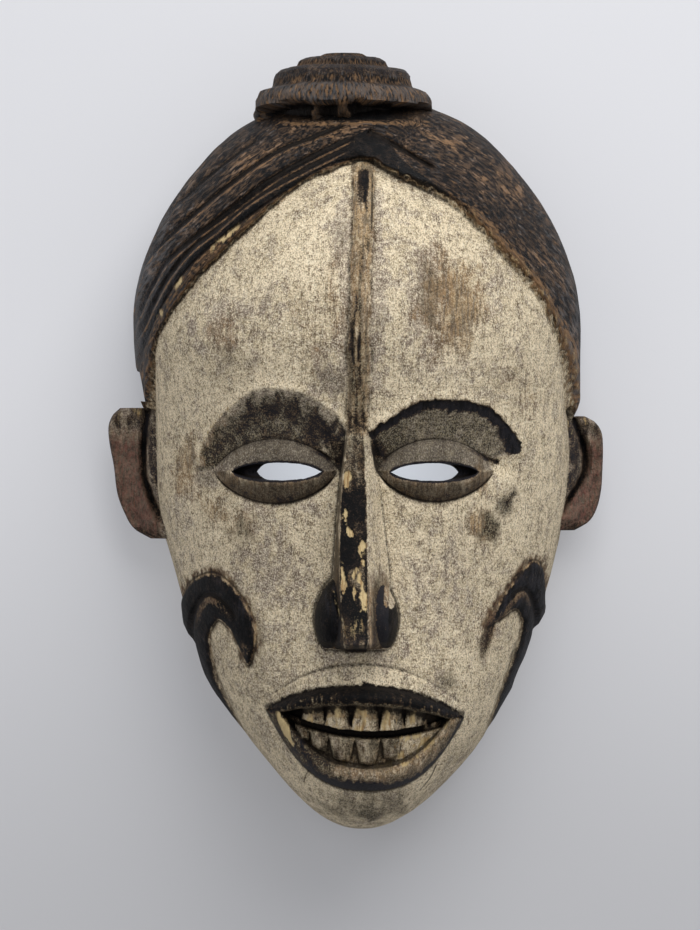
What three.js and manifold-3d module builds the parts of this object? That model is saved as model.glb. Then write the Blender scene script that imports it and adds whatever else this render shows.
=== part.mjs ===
// A carved wooden face mask: pale face, dark cap of hair with a stepped knot, two ears, a ridge down
// the forehead, a long nose, slit eyes, bared teeth and raised scars on the cheeks.
// It is one piece of wood, hollow behind, and lies on its flat back rim with the face up.
// Millimetres. +X is the viewer's right, +Y runs to the crown and +Z comes out of the face.
import * as THREE from 'three';
import { mergeVertices } from 'three/addons/utils/BufferGeometryUtils.js';
import Module from 'manifold-3d';

const wasm = await Module();
wasm.setup();

// Outline of the head from the front: distance from the centre every 18 degrees, clockwise from the crown.
const HEAD_RADII = [
  150.4, 146.6, 132.4, 117.2, 101.6, 96.4, 97.4, 105.4, 121.3, 149.3,
  168.8, 140.9, 116.3, 98.3, 92.4, 90.4, 99.0, 116.6, 132.2, 146.6,
];
// Depth of the front over the rim at heights from the chin to the crown, before the edges round off.
const FRONT_DEPTH = [
  [-170, 180], [-140, 142], [-105, 120], [-60, 103], [-20, 102], [10, 109], [50, 124], [114, 135],
  [152, 145],
];
const EDGE_ROUNDNESS = 2.2;
// The relief is carved along Z, but leans outwards near the rim and fades at the rim itself.
const RIM = { leanStart: 0.86, lean: 0.8, fade: 6 };
// Wood left round the hollow: at the sides, behind the face, and thicker still behind the mouth.
const WALL = { side: 11, front: 15, mouth: 6, mouthReach: 60, cutBelow: 2 };

const HAIR = {
  line: [
    [-91, 16], [-85.7, 41.5], [-69.8, 63.9], [-51.6, 81.7], [-27, 103.6], [-12, 112.1], [4, 117],
    [15.5, 110.8], [40.4, 98.6], [57.4, 82.1], [78.2, 59.6], [91.7, 30.7], [94.4, 17],
  ],
  rise: 2.6,
  edge: 2,
  sink: 3.6,
  sinkReach: 26,
  endLow: 4,
  endHigh: 20,
  strands: 4,
  pitchPeak: 6.6,
  pitchSide: 3.6,
  groove: 2.6,
  peakStrands: 2,
  rightStrands: 0.8,
};
const RIDGE = {
  line: [[3.2, 113], [2.1, 78.7], [0.7, 28.3], [0.3, 2]],
  half: 4.4, high: 3.4, lowering: 0.3, endLow: 114, endHigh: 118,
};
// Half-widths of the nose at rising heights: its flat crest, and the feet of its two flanks.
const NOSE = {
  top: 6, bottom: -82.2, under: 3, tipRound: 2, rootHigh: 3.5, tipHigh: 32, bend: -1.2,
  fadeUp: 10, fadeDown: 6, flank: 1.2,
  crest: [[-84, 4.4], [-45, 5.4], [-20, 4.9], [10, 2.4]],
  leftFoot: [[-84, 11.6], [-58, 9], [-25, 6.4], [6, 4.4]],
  rightFoot: [[-84, 13], [-58, 15], [-25, 11.6], [6, 5.4]],
};
const NOSE_WING = {
  reach: 10.8, y: -70.5, half: 6.6, tall: 15, high: 20, inward: 0.28,
  inset: 2.6, insetLow: -74, insetHigh: -55,
};
const EYES = [
  {
    x: -33.4, y: -11.6, half: 25.8, up: 13, down: 13.2,
    brow: [
      [-66, -11], [-64.4, -2], [-57.3, 9.4], [-42.4, 20.8], [-30.1, 21.6], [-18.3, 18.5], [-6.6, 9.5],
      [-2.4, 3],
    ],
    slit: { x: -32.3, y: -12, half: 18.4, tall: 3.7, through: [-26.9, 13] },
  },
  {
    x: 32.8, y: -11.4, half: 24.4, up: 12.8, down: 12.6,
    brow: [
      [3.4, 3.5], [12.4, 9.1], [23.4, 16], [34, 17.6], [47.2, 16.8], [57.9, 12.4], [67.3, 2.1], [69.2, -4.6],
    ],
    slit: { x: 31.9, y: -12.2, half: 18, tall: 3.7, through: [28.3, 14.2] },
  },
];
const BROW = { rise: 1.4, half: 3.6, edge: 2, slope: 15, socket: 5.4, beyond: 6, endLow: -16, endHigh: -8 };
const LIDS = { bulge: 5.4, corner: 0.75, lowerSink: 1.6 };
const SLIT = { depth: 7, shape: 0.6, over: 0.5, under: 0.7 };
const MOUTH = {
  x: 3.8, y: -112.8, half: 41.5, tilt: -0.041, upperOut: 13.4, upperIn: 6.8, lowerOut: 31, lowerIn: 22.4,
  inner: 0.86, upperBow: 2.2, lowerInBow: 2.6, lowerBow: 2.8,
  lip: 7.5, thinning: 0.55, muzzle: 3.5, muzzleDown: 8, muzzleReach: 52, recess: 8, edge: 3,
};
const TEETH = {
  x: -18, pitch: 10.7, count: 5, gap: 1.3, slitUp: 5.4, slitDown: 9.6, slitSag: 7, upperTall: 9,
  lowerTall: 14, high: 10.5, taper: 0.34, shift: 0.45, sloping: 0.25,
};
const SCARS = [
  {
    line: [
      [-45.6, -91.5], [-45, -83], [-47.5, -72], [-55, -65], [-65.5, -66.5], [-70.5, -80], [-69.5, -100],
      [-54, -126],
    ],
    half: [0.8, 3, 5.4, 8.2, 7.6, 8, 8, 2],
  },
  {
    line: [
      [55.4, -76], [60.6, -70], [67.2, -63.8], [73.6, -58.6], [76.4, -68], [77.4, -84], [71.4, -106],
      [57, -128],
    ],
    half: [0.8, 3.2, 5.6, 7.2, 6.8, 8.2, 8, 2],
  },
];
const SCAR = {
  high: 3.2, soft: 1.4, groove: 1.6, grooveShare: 0.35, thinnest: 3.5, fullest: 6, lowest: 12, fade: 5,
};
// Ears: an upright plate each. edge holds the outer edge's distance from the middle at even steps downwards.
const EAR = {
  root: 78, top: 15.8, bottom: -41.4, front: 31, setBack: 6, thick: 11.5, bowl: 6, sag: 0.06, behind: 3,
};
const EARS = [
  { side: -1, lift: 0, edge: [103.4, 108.5, 108, 106.2, 104.9, 101.4, 90] },
  { side: 1, lift: -3.6, edge: [100.5, 107.8, 108.5, 108.3, 107.7, 105.7, 96] },
];
// The knot of hair is a stack of flat tiers: half-width and height of each tier's upper edge.
const KNOT = {
  x: -5.6, z: 44, foot: 118, footShare: 0.8, lip: 136.5, lipShare: 0.86, flat: 0.84, round: 2.2, step: 1.4,
  sides: 24,
  tiers: [[38, 151.9], [29.5, 160.1], [18.7, 165.2], [9, 167.8]],
};
const GRID = 128;
const FINENESS = 0.86;
const GATHER_ACROSS = 0.2;
const GATHER_UP = 0.3;
const HOLLOW_GRID = 32;
const HOLLOW_FINENESS = 1.6;
const EYE_HOLE = { low: 40, tall: 90, steps: 10, blunt: 6 };
const EAR_COLUMNS = 7;
const EAR_ROWS = 9;

const clamp = (value, low, high) => Math.min(Math.max(value, low), high);

// 0 below low, 1 above high, an S-curve between.
function ease(low, high, value) {
  const t = clamp((value - low) / (high - low), 0, 1);
  return t * t * (3 - 2 * t);
}

// 1 at zero, falling in a bell to 0 at plus and minus one.
function bell(value) {
  const t = clamp(1 - value * value, 0, 1);
  return t * t;
}

// Cubic curve through evenly spaced values, at a place from 0 to the last index. closed joins the ends.
function blendValues(values, place, closed) {
  const count = values.length;
  const step = Math.floor(place);
  const t = place - step;
  const pick = (index) => (closed ? values[(index + count) % count] : values[clamp(index, 0, count - 1)]);
  const [a, b, c, d] = [step - 1, step, step + 1, step + 2].map(pick);
  return b + 0.5 * t * (c - a + t * (2 * a - 5 * b + 4 * c - d + t * (3 * (b - c) + d - a)));
}

// Smooth value at x along a table of [x, value] rows with rising x.
function alongTable(table, x) {
  const inside = clamp(x, table[0][0], table[table.length - 1][0]);
  const row = Math.max(1, table.findIndex(([at]) => at >= inside));
  const [[x0, y0], [x1, y1]] = [table[row - 1], table[row]];
  const before = table[Math.max(row - 2, 0)];
  const after = table[Math.min(row + 1, table.length - 1)];
  const slope0 = (y1 - before[1]) / (x1 - before[0]);
  const slope1 = (after[1] - y0) / (after[0] - x0);
  const width = x1 - x0;
  const t = (inside - x0) / width;
  const s = 1 - t;
  return (
    y0 * s * s * (1 + 2 * t) + y1 * t * t * (1 + 2 * s) + width * t * s * (slope0 * s - slope1 * t)
  );
}

// A smooth line on the front, which finds how far beside it and how far along it a point lies.
class Line {
  constructor(points, steps = 48) {
    const curve = new THREE.SplineCurve(points.map(([x, y]) => new THREE.Vector2(x, y)));
    this.points = curve.getPoints(steps);
  }

  near(x, y) {
    let best = Infinity;
    let side = 0;
    let along = 0;
    for (let i = 1; i < this.points.length; i++) {
      const a = this.points[i - 1];
      const b = this.points[i];
      const [ux, uy] = [b.x - a.x, b.y - a.y];
      const t = clamp(((x - a.x) * ux + (y - a.y) * uy) / (ux * ux + uy * uy), 0, 1);
      const [dx, dy] = [x - a.x - t * ux, y - a.y - t * uy];
      const gap = Math.hypot(dx, dy);
      if (gap < best) {
        best = gap;
        side = Math.sign(ux * dy - uy * dx);
        along = (i - 1 + t) / (this.points.length - 1);
      }
    }
    return { gap: best, side: best * side, along };
  }
}

const hairLine = new Line(HAIR.line, 72);
const ridgeLine = new Line(RIDGE.line, 16);
const browLines = EYES.map((eye) => new Line(eye.brow, 32));
const scarLines = SCARS.map((scar) => new Line(scar.line, 40));

// Distance from the centre to the head's outline in the direction of (x, y).
function outlineRadius(x, y) {
  const turn = (Math.atan2(x, y) / (2 * Math.PI) + 1) % 1;
  return blendValues(HEAD_RADII, turn * HEAD_RADII.length, true);
}

// Height of a smooth shell over (x, y) at a fraction of the way from its centre to its outline.
function shellHeight(y, fraction, lower) {
  const edge = Math.max(1 - fraction ** EDGE_ROUNDNESS, 0) ** (1 / EDGE_ROUNDNESS);
  return (alongTable(FRONT_DEPTH, y) - lower) * edge;
}

// Hair: a raised cap outside the hairline, the face cut down beside it, and combed strands on the left.
function hairRelief(x, y) {
  const { side, along } = hairLine.near(x, y);
  const onHair = ease(-HAIR.edge, HAIR.edge, side) * ease(HAIR.endLow, HAIR.endHigh, y);
  const beside = ease(HAIR.endLow - 30, HAIR.endHigh, y) * Math.exp(Math.min(side, 0) / HAIR.sinkReach);
  const fromPeak = Math.abs(along - 0.5) * 2;
  const pitch = HAIR.pitchPeak + (HAIR.pitchSide - HAIR.pitchPeak) * fromPeak;
  const onRight = HAIR.peakStrands + (HAIR.rightStrands - HAIR.peakStrands) * ease(0.5, 0.62, along);
  const count = along < 0.5 ? HAIR.strands : onRight;
  const combed = 1 - ease(count - 0.4, count, side / pitch);
  const groove = HAIR.groove * combed * (1 - Math.abs(Math.sin((Math.PI * side) / pitch)) ** 0.7);
  return onHair * (HAIR.rise - groove * ease(0.2, 0.9, side / pitch)) - (1 - onHair) * HAIR.sink * beside;
}

// Forehead ridge: a narrow keel from the hairline down to the root of the nose.
function ridgeRelief(x, y) {
  const { gap, along } = ridgeLine.near(x, y);
  const ends = ease(RIDGE.endHigh, RIDGE.endLow, y);
  return RIDGE.high * (1 - RIDGE.lowering * along) * bell(gap / RIDGE.half) ** 0.5 * ends;
}

// The flat underside of the nose and its wings, with a rounded front edge.
function noseEnd(y) {
  return ease(NOSE.bottom - NOSE.under, NOSE.bottom + NOSE.tipRound, y) ** 0.7;
}

// Nose: a flat crest that rises and widens to the tip, a straight ramp on each side, and a flat underside.
function noseRelief(x, y) {
  const t = clamp((NOSE.top - y) / (NOSE.top - NOSE.bottom), 0, 1);
  const beside = x - NOSE.bend * Math.sin(Math.PI * t);
  const crest = alongTable(NOSE.crest, y);
  const foot = Math.max(alongTable(beside < 0 ? NOSE.leftFoot : NOSE.rightFoot, y), crest + NOSE.flank);
  const ramp = clamp((foot - Math.abs(beside)) / (foot - crest), 0, 1);
  const across = (ramp + ease(0, 1, ramp)) / 2;
  const high = NOSE.rootHigh + (NOSE.tipHigh - NOSE.rootHigh) * t ** 1.1;
  return high * across * noseEnd(y) * ease(NOSE.top + NOSE.fadeUp, NOSE.top - NOSE.fadeDown, y);
}

// Nostril wings: half a drop on each side of the tip, cut off flat below. Inwards it falls off slowly,
// so that it meets the flank without a valley.
function wingRelief(x, y) {
  const inset = NOSE_WING.inset * ease(NOSE_WING.insetLow, NOSE_WING.insetHigh, y);
  const outward = Math.abs(x) - NOSE_WING.reach + inset;
  const across = Math.max(outward, NOSE_WING.inward * outward) / NOSE_WING.half;
  const up = (y - NOSE_WING.y) / NOSE_WING.tall;
  return NOSE_WING.high * Math.max(1 - across * across - up * up, 0) ** 0.5 * noseEnd(y);
}

// How far up (positive) or down a point lies in an almond with pointed corners. 1 is its edge.
function almond(eye, x, y) {
  const u = clamp((x - eye.x) / eye.half, -1, 1);
  const span = Math.max(1 - u * u, 0) ** LIDS.corner;
  const rise = y - eye.y;
  return { across: u, high: rise / ((rise > 0 ? eye.up : eye.down) * span + 0.01) };
}

// Eye: a brow edge, a cove that slopes down under it, and an almond bulge of both lids.
function eyeRelief(eye, browLine, x, y) {
  const { across, high } = almond(eye, x, y);
  const brow = browLine.near(x, y);
  const below = -brow.side;
  const under = ease(0, BROW.edge, below) * ease(BROW.endLow, BROW.endHigh, y);
  const reach = ease(1.25, 0.95, Math.abs((x - eye.x) / (eye.half + BROW.beyond)));
  const cove = -BROW.socket * ease(0, BROW.slope, below) * under;
  const lip = BROW.rise * bell(brow.gap / BROW.half) * (1 - under);
  const inside = Math.max(1 - high * high, 0) ** 0.6 * (1 - across ** 4);
  const round = ease(1.35, 1, Math.abs(high)) * ease(1.05, 0.9, Math.abs(across));
  const lids = (LIDS.bulge * inside - LIDS.lowerSink * ease(0.1, -0.35, high)) * round;
  return (cove + lip) * reach + lids;
}

// Blind outer corner of an eye slit, where the cut doesn't reach through the wood.
function slitRelief(eye, x, y) {
  const { slit } = eye;
  const u = (x - slit.x) / slit.half;
  const half = slit.tall * Math.max(1 - u * u, 0) ** SLIT.shape;
  const cut = SLIT.depth * ease(half + SLIT.over, half - SLIT.under, Math.abs(y - slit.y));
  return Math.abs(u) < 1 ? -cut : 0;
}

// Edges of the lips at x: outer and inner, above and below, with u from corner to corner.
function lipEdges(x) {
  const u = (x - MOUTH.x) / MOUTH.half;
  const corner = MOUTH.y + MOUTH.tilt * (x - MOUTH.x);
  const bow = (height, power, reach) => height * Math.max(1 - Math.abs(u / reach) ** power, 0);
  return {
    u,
    corner,
    top: corner + bow(MOUTH.upperOut, MOUTH.upperBow, 1),
    topIn: corner + bow(MOUTH.upperIn, MOUTH.upperBow, MOUTH.inner),
    bottomIn: corner - bow(MOUTH.lowerIn, MOUTH.lowerInBow, MOUTH.inner),
    bottom: corner - bow(MOUTH.lowerOut, MOUTH.lowerBow, 1),
  };
}

// Two rows of wedge teeth that stand in the open mouth, with a dark gap between the rows.
function toothRelief(x, y, edges) {
  const sag = TEETH.slitSag * edges.u * edges.u;
  const gapTop = edges.corner - TEETH.slitUp + sag;
  const gapLow = edges.corner - TEETH.slitDown + sag;
  const upper = y > (gapTop + gapLow) / 2;
  const place = (x - TEETH.x) / TEETH.pitch + (upper ? 0 : TEETH.shift);
  const tooth = Math.round(place);
  if (tooth < 0 || tooth >= TEETH.count) {
    return 0;
  }
  const down = upper ? (y - gapTop) / TEETH.upperTall : (gapLow - y) / TEETH.lowerTall;
  const narrow = upper ? 0 : TEETH.taper * clamp(down, 0, 1);
  const half = 0.5 * (1 - narrow) - TEETH.gap / TEETH.pitch;
  const across = ease(half + 0.1, half - 0.06, Math.abs(place - tooth));
  return TEETH.high * across * ease(-0.02, 0.1, down) * (1 - TEETH.sloping * clamp(down, 0, 1));
}

// Mouth: thick lips on a slight muzzle, and a recess between them that holds the teeth.
function mouthRelief(x, y) {
  const edges = lipEdges(x);
  const spread = Math.hypot(x - MOUTH.x, (y - MOUTH.y + MOUTH.muzzleDown) * 1.1) / MOUTH.muzzleReach;
  const muzzle = MOUTH.muzzle * bell(spread);
  if (Math.abs(edges.u) > 1 || y > edges.top || y < edges.bottom) {
    return muzzle;
  }
  const fullness = MOUTH.lip * (1 - MOUTH.thinning * edges.u ** 4);
  const up = (y - edges.topIn) / (edges.top - edges.topIn + 0.01);
  const down = (edges.bottomIn - y) / (edges.bottomIn - edges.bottom + 0.01);
  const v = y > edges.corner ? up : down;
  if (v > 0) {
    return muzzle + fullness * Math.sin(Math.PI * clamp(0.25 + 0.75 * v, 0, 1)) ** 0.8;
  }
  const edgeHigh = fullness * Math.sin(Math.PI * 0.25) ** 0.8;
  const inward = Math.min(edges.topIn - y, y - edges.bottomIn);
  const drop = ease(0, MOUTH.edge, inward);
  return muzzle + edgeHigh * (1 - drop) + drop * (toothRelief(x, y, edges) - MOUTH.recess);
}

// Cheek scar: a raised crescent with a groove along its back, on the front and the turn of the cheek.
function scarRelief(scar, line, x, y, z) {
  const { gap, along } = line.near(x, y);
  const half = blendValues(scar.half, along * (scar.half.length - 1), false);
  const edge = ease(half + SCAR.soft, half - SCAR.soft, gap);
  const parted = ease(SCAR.thinnest, SCAR.fullest, half);
  const groove = SCAR.groove * bell(gap / (half * SCAR.grooveShare)) * parted;
  return (SCAR.high * edge - groove) * ease(SCAR.lowest - SCAR.fade, SCAR.lowest + SCAR.fade, z);
}

// All the carving over the smooth shell at a point of it.
function relief(x, y, z) {
  const eyes = EYES.reduce((sum, eye, i) => sum + eyeRelief(eye, browLines[i], x, y), 0);
  const slits = EYES.reduce((sum, eye) => sum + slitRelief(eye, x, y), 0);
  const scars = SCARS.reduce((sum, scar, i) => sum + scarRelief(scar, scarLines[i], x, y, z), 0);
  const nose = noseRelief(x, y);
  const raised = Math.max(nose, wingRelief(x, y), ridgeRelief(x, y));
  const calm = 1 - ease(0.5, 3, nose);
  return hairRelief(x, y) + raised + eyes * calm + slits + mouthRelief(x, y) + scars;
}

// Draws grid lines together in the middle of the face, where the carving is finest.
function gather(value, share) {
  return value * (1 - share + share * value * value);
}

// A point of the smooth shell for a place (p, q) in a square from -1 to 1, its corners drawn in to a disc.
function shellPoint(p, q, wall) {
  const a = p * Math.sqrt(1 - (q * q) / 2);
  const b = q * Math.sqrt(1 - (p * p) / 2);
  const fraction = Math.sin((Math.PI / 2) * Math.min(Math.hypot(a, b), 1));
  const turn = Math.atan2(a, b);
  const radius = (outlineRadius(a, b + 1e-12) - wall) * fraction;
  return { x: radius * Math.sin(turn), y: radius * Math.cos(turn), fraction };
}

// The carved front at (p, q): the smooth shell, pushed out by the relief.
function carvedPoint(p, q) {
  const { x, y, fraction } = shellPoint(gather(p, GATHER_ACROSS), gather(q, GATHER_UP), 0);
  const z = shellHeight(y, fraction, 0);
  const lean = ease(RIM.leanStart, 1, fraction) * RIM.lean;
  const away = new THREE.Vector3(x, y, 0).normalize().multiplyScalar(lean);
  const out = new THREE.Vector3(away.x, away.y, 1 - lean * 0.9).normalize();
  const high = relief(x, y, z) * ease(0, RIM.fade, z);
  return new THREE.Vector3(x + out.x * high, y + out.y * high, z + out.z * high);
}

// Splits right triangles of a square grid only where the surface is curved, and returns them as grid places.
// The error at the middle of each long side is gathered from the smallest triangles up, so no cracks open.
function adaptiveTriangles(points, size, tolerance) {
  const wide = size + 1;
  const errors = new Float32Array(wide * wide);
  const at = (x, y) => y * wide + x;
  const halve = ([ax, ay, bx, by, cx, cy]) => {
    const [mx, my] = [(ax + bx) / 2, (ay + by) / 2];
    return [[cx, cy, ax, ay, mx, my], [bx, by, cx, cy, mx, my]];
  };
  const roots = [[0, 0, size, size, size, 0], [size, size, 0, 0, 0, size]];
  const levels = [roots];
  while (levels.length < 2 * Math.log2(size)) {
    levels.push(levels[levels.length - 1].flatMap(halve));
  }
  const middle = new THREE.Vector3();
  levels.reverse().forEach((level, depth) => {
    for (const [ax, ay, bx, by, cx, cy] of level) {
      const here = at((ax + bx) / 2, (ay + by) / 2);
      middle.addVectors(points[at(ax, ay)], points[at(bx, by)]).multiplyScalar(0.5);
      const own = middle.distanceTo(points[here]);
      const left = depth > 0 ? errors[at((ax + cx) / 2, (ay + cy) / 2)] : 0;
      const right = depth > 0 ? errors[at((bx + cx) / 2, (by + cy) / 2)] : 0;
      errors[here] = Math.max(errors[here], own, left, right);
    }
  });
  const triangles = [];
  const visit = (triangle, depth) => {
    const [ax, ay, bx, by, cx, cy] = triangle;
    if (depth < levels.length && errors[at((ax + bx) / 2, (ay + by) / 2)] > tolerance) {
      halve(triangle).forEach((half) => visit(half, depth + 1));
    } else {
      triangles.push([at(bx, by), at(ax, ay), at(cx, cy)]);
    }
  };
  roots.forEach((root) => visit(root, 0));
  return triangles;
}

// A dome over the plane at its rim: an adaptive surface of points, closed below by a fan to the centre.
function domeSolid(pointAt, size, tolerance, floor) {
  const wide = size + 1;
  const points = [];
  for (let row = 0; row < wide; row++) {
    for (let column = 0; column < wide; column++) {
      points.push(pointAt((2 * column) / size - 1, (2 * row) / size - 1));
    }
  }
  const top = adaptiveTriangles(points, size, tolerance);
  const open = new Map();
  for (const [a, b, c] of top) {
    for (const [from, to] of [[a, b], [b, c], [c, a]]) {
      if (!open.delete(`${to},${from}`)) {
        open.set(`${from},${to}`, [from, to]);
      }
    }
  }
  const centre = points.push(new THREE.Vector3(0, 0, floor)) - 1;
  const bottom = [...open.values()].map(([from, to]) => [to, from, centre]);
  const index = [...top, ...bottom].flat();
  const geometry = new THREE.BufferGeometry().setFromPoints(points);
  return toSolid(geometry.setIndex(index));
}

// Closed mesh to solid: only positions count, and shared vertices are merged.
function toSolid(geometry) {
  const loose = geometry.index ? geometry.toNonIndexed() : geometry.clone();
  loose.deleteAttribute('normal');
  loose.deleteAttribute('uv');
  const merged = mergeVertices(loose, 1e-4);
  return new wasm.Manifold(new wasm.Mesh({
    numProp: 3,
    vertProperties: new Float32Array(merged.attributes.position.array),
    triVerts: new Uint32Array(merged.index.array),
  }));
}

function toGeometry(solid) {
  const { vertProperties, triVerts } = solid.getMesh();
  const geometry = new THREE.BufferGeometry();
  geometry.setAttribute('position', new THREE.BufferAttribute(new Float32Array(vertProperties), 3));
  geometry.setIndex(new THREE.BufferAttribute(new Uint32Array(triVerts), 1));
  geometry.computeVertexNormals();
  return geometry;
}

// The hollow behind the face: the same shell drawn in by the wall, smooth inside.
function hollowPoint(p, q) {
  const { x, y, fraction } = shellPoint(p, q, WALL.side);
  const fromMouth = Math.hypot(x - MOUTH.x, y - MOUTH.y) / WALL.mouthReach;
  const lower = WALL.front + WALL.mouth * bell(fromMouth);
  const atRim = fraction > 0.999999;
  return new THREE.Vector3(x, y, shellHeight(y, fraction, lower) - (atRim ? WALL.cutBelow : 0));
}

// Lens-shaped hole through the wood behind an eye slit.
function eyeHole(eye) {
  const { slit } = eye;
  const [middle, half] = slit.through;
  const shape = new THREE.Shape();
  for (const side of [1, -1]) {
    for (let i = 0; i < EYE_HOLE.steps; i++) {
      const x = middle - side * half + (side * 2 * half * i) / EYE_HOLE.steps;
      const u = (x - slit.x) / slit.half;
      const end = 1 - Math.abs((x - middle) / half) ** EYE_HOLE.blunt;
      const y = slit.y + side * slit.tall * Math.max(1 - u * u, 0) ** SLIT.shape * end;
      shape[side === 1 && i === 0 ? 'moveTo' : 'lineTo'](x, y);
    }
  }
  const geometry = new THREE.ExtrudeGeometry(shape, { depth: EYE_HOLE.tall, bevelEnabled: false });
  return toSolid(geometry.translate(0, 0, EYE_HOLE.low));
}

// Closed plate between a front and a back sheet over the same grid of places (u, v) from 0 to 1.
function plateSolid(front, back, columns, rows) {
  const points = [];
  const wide = columns + 1;
  for (const sheet of [front, back]) {
    for (let row = 0; row <= rows; row++) {
      for (let column = 0; column <= columns; column++) {
        points.push(sheet(column / columns, row / rows));
      }
    }
  }
  const index = [];
  const quad = (a, b, c, d) => index.push(c, b, a, d, c, a);
  const half = wide * (rows + 1);
  for (let row = 0; row < rows; row++) {
    for (let column = 0; column < columns; column++) {
      const a = row * wide + column;
      quad(a, a + wide, a + wide + 1, a + 1);
      quad(half + a, half + a + 1, half + a + wide + 1, half + a + wide);
    }
  }
  for (let row = 0; row < rows; row++) {
    const [a, b] = [row * wide, row * wide + columns];
    quad(a, half + a, half + a + wide, a + wide);
    quad(b, b + wide, half + b + wide, half + b);
  }
  for (let column = 0; column < columns; column++) {
    const [a, b] = [column, rows * wide + column];
    quad(a, a + 1, half + a + 1, half + a);
    quad(b, half + b, half + b + 1, b + 1);
  }
  const geometry = new THREE.BufferGeometry().setFromPoints(points);
  return toSolid(geometry.setIndex(index));
}

// Ear: an upright plate with a flat top and a tapering lobe, hollowed in front, its outer edge set back.
function earSolid({ side, lift, edge }) {
  const tall = EAR.top - EAR.bottom + lift * 2;
  const place = (u, v) => {
    const outer = blendValues(edge, v * (edge.length - 1), false);
    const x = EAR.root + (outer - EAR.root) * u;
    const y = EAR.top + lift - tall * (v - EAR.sag * u * Math.sin(Math.PI * v));
    return [x * side, y];
  };
  const rim = (u, v) => ease(0, 0.22, 1 - u) * ease(0, 0.14, v) * ease(0, 0.16, 1 - v);
  const front = (u, v) => {
    const [x, y] = place(u, v);
    return new THREE.Vector3(x, y, EAR.front - EAR.setBack * u - EAR.bowl * rim(u, v));
  };
  const back = (u, v) => {
    const [x, y] = place(u, v);
    const z = EAR.front - EAR.setBack * u - EAR.thick + EAR.behind * (1 - rim(u, v));
    return new THREE.Vector3(x, y, z);
  };
  const flipped = side > 0 ? (sheet) => (u, v) => sheet(u, 1 - v) : (sheet) => sheet;
  return plateSolid(flipped(front), flipped(back), EAR_COLUMNS, EAR_ROWS);
}

// Hair knot: one turned form with a step for each tier, flattened front to back, upright on the crown.
function knotSolid() {
  const [[base]] = KNOT.tiers;
  const profile = [
    [0, KNOT.foot], [base * KNOT.footShare, KNOT.foot], [base * KNOT.lipShare, KNOT.lip - 1],
    [base, KNOT.lip + 3],
  ];
  KNOT.tiers.forEach(([radius, top], i) => {
    const next = KNOT.tiers[i + 1];
    profile.push([radius, top - KNOT.round], [radius - KNOT.round, top - 0.3]);
    if (next) {
      profile.push([next[0] - 0.5, top + 0.4], [next[0], top + KNOT.step]);
    }
  });
  profile.push([0, KNOT.tiers[KNOT.tiers.length - 1][1]]);
  const points = profile.map(([radius, height]) => new THREE.Vector2(radius, height));
  const geometry = new THREE.LatheGeometry(points, KNOT.sides);
  geometry.scale(1, 1, KNOT.flat);
  return toSolid(geometry.translate(KNOT.x, 0, KNOT.z));
}

function maskGeometry() {
  const head = domeSolid(carvedPoint, GRID, FINENESS, 0);
  const hollow = domeSolid(hollowPoint, HOLLOW_GRID, HOLLOW_FINENESS, -WALL.cutBelow);
  const body = [...EARS.map(earSolid), knotSolid()].reduce((sum, solid) => sum.add(solid), head);
  const cut = [...EYES.map(eyeHole), hollow].reduce((rest, solid) => rest.subtract(solid), body);
  const geometry = toGeometry(cut);
  geometry.computeBoundingBox();
  const { min, max } = geometry.boundingBox;
  return geometry.translate(-(min.x + max.x) / 2, -(min.y + max.y) / 2, -min.z);
}

const paintedWood = new THREE.MeshStandardMaterial({ color: 0xcfc4ab, roughness: 0.85, metalness: 0 });
const mask = new THREE.Mesh(maskGeometry(), paintedWood);
mask.name = 'mask';

const group = new THREE.Group();
group.add(mask);

export default group;
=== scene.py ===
"""Looks of a carved and painted wooden face mask, lying face up on a pale floor.

The mask is one piece of wood. Its front is a smooth domed shell over which each carved form adds its own
height and its own paint: a cap of combed hair, a ridge down the forehead, a long nose, two slit eyes, a
mouth with bared teeth and a raised scar on each cheek. Two ears and a stepped knot of hair are joined to
it, and the back is hollow. Shapes are worked out in millimetres, seen from the front: +X to the viewer's
right, +Y to the crown, +Z out of the face.
"""

import logging
import math
from collections.abc import Sequence
from dataclasses import dataclass, field
from enum import Enum

import bpy
import numpy as np
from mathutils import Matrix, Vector


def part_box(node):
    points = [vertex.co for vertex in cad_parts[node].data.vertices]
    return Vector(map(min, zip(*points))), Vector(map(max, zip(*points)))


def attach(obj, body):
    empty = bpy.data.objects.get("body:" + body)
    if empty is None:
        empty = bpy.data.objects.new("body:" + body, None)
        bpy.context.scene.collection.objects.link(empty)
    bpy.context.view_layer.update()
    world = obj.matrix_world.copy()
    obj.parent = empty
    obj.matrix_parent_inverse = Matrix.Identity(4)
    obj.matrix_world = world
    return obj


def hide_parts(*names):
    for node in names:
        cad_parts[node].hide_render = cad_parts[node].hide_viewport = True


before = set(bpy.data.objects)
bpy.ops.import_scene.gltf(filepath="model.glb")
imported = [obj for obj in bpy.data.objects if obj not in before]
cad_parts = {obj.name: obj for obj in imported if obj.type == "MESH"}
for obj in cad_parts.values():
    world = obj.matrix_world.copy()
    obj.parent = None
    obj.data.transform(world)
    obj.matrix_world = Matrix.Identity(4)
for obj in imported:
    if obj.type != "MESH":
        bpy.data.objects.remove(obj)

MM = 0.001
CAD_NODE = "mask"
BODY = "root"
OWN = "own"
SPECULAR = 0.13
log = logging.getLogger("mask")

Array = np.ndarray
Point = tuple[float, float]
Size = tuple[float, float, float]
Colour = tuple[float, float, float, float]


def ease(low: float | Array, high: float | Array, value: Array) -> Array:
    """S-curve: 0 up to low, 1 from high on, 3t^2 - 2t^3 between.

    Args:
        low: value where the curve starts.
        high: value where it ends.
        value: where it is read.

    Returns:
        The curve's height, from 0 to 1.
    """
    t = np.clip((value - low) / (high - low), 0.0, 1.0)
    return t * t * (3.0 - 2.0 * t)


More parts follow.
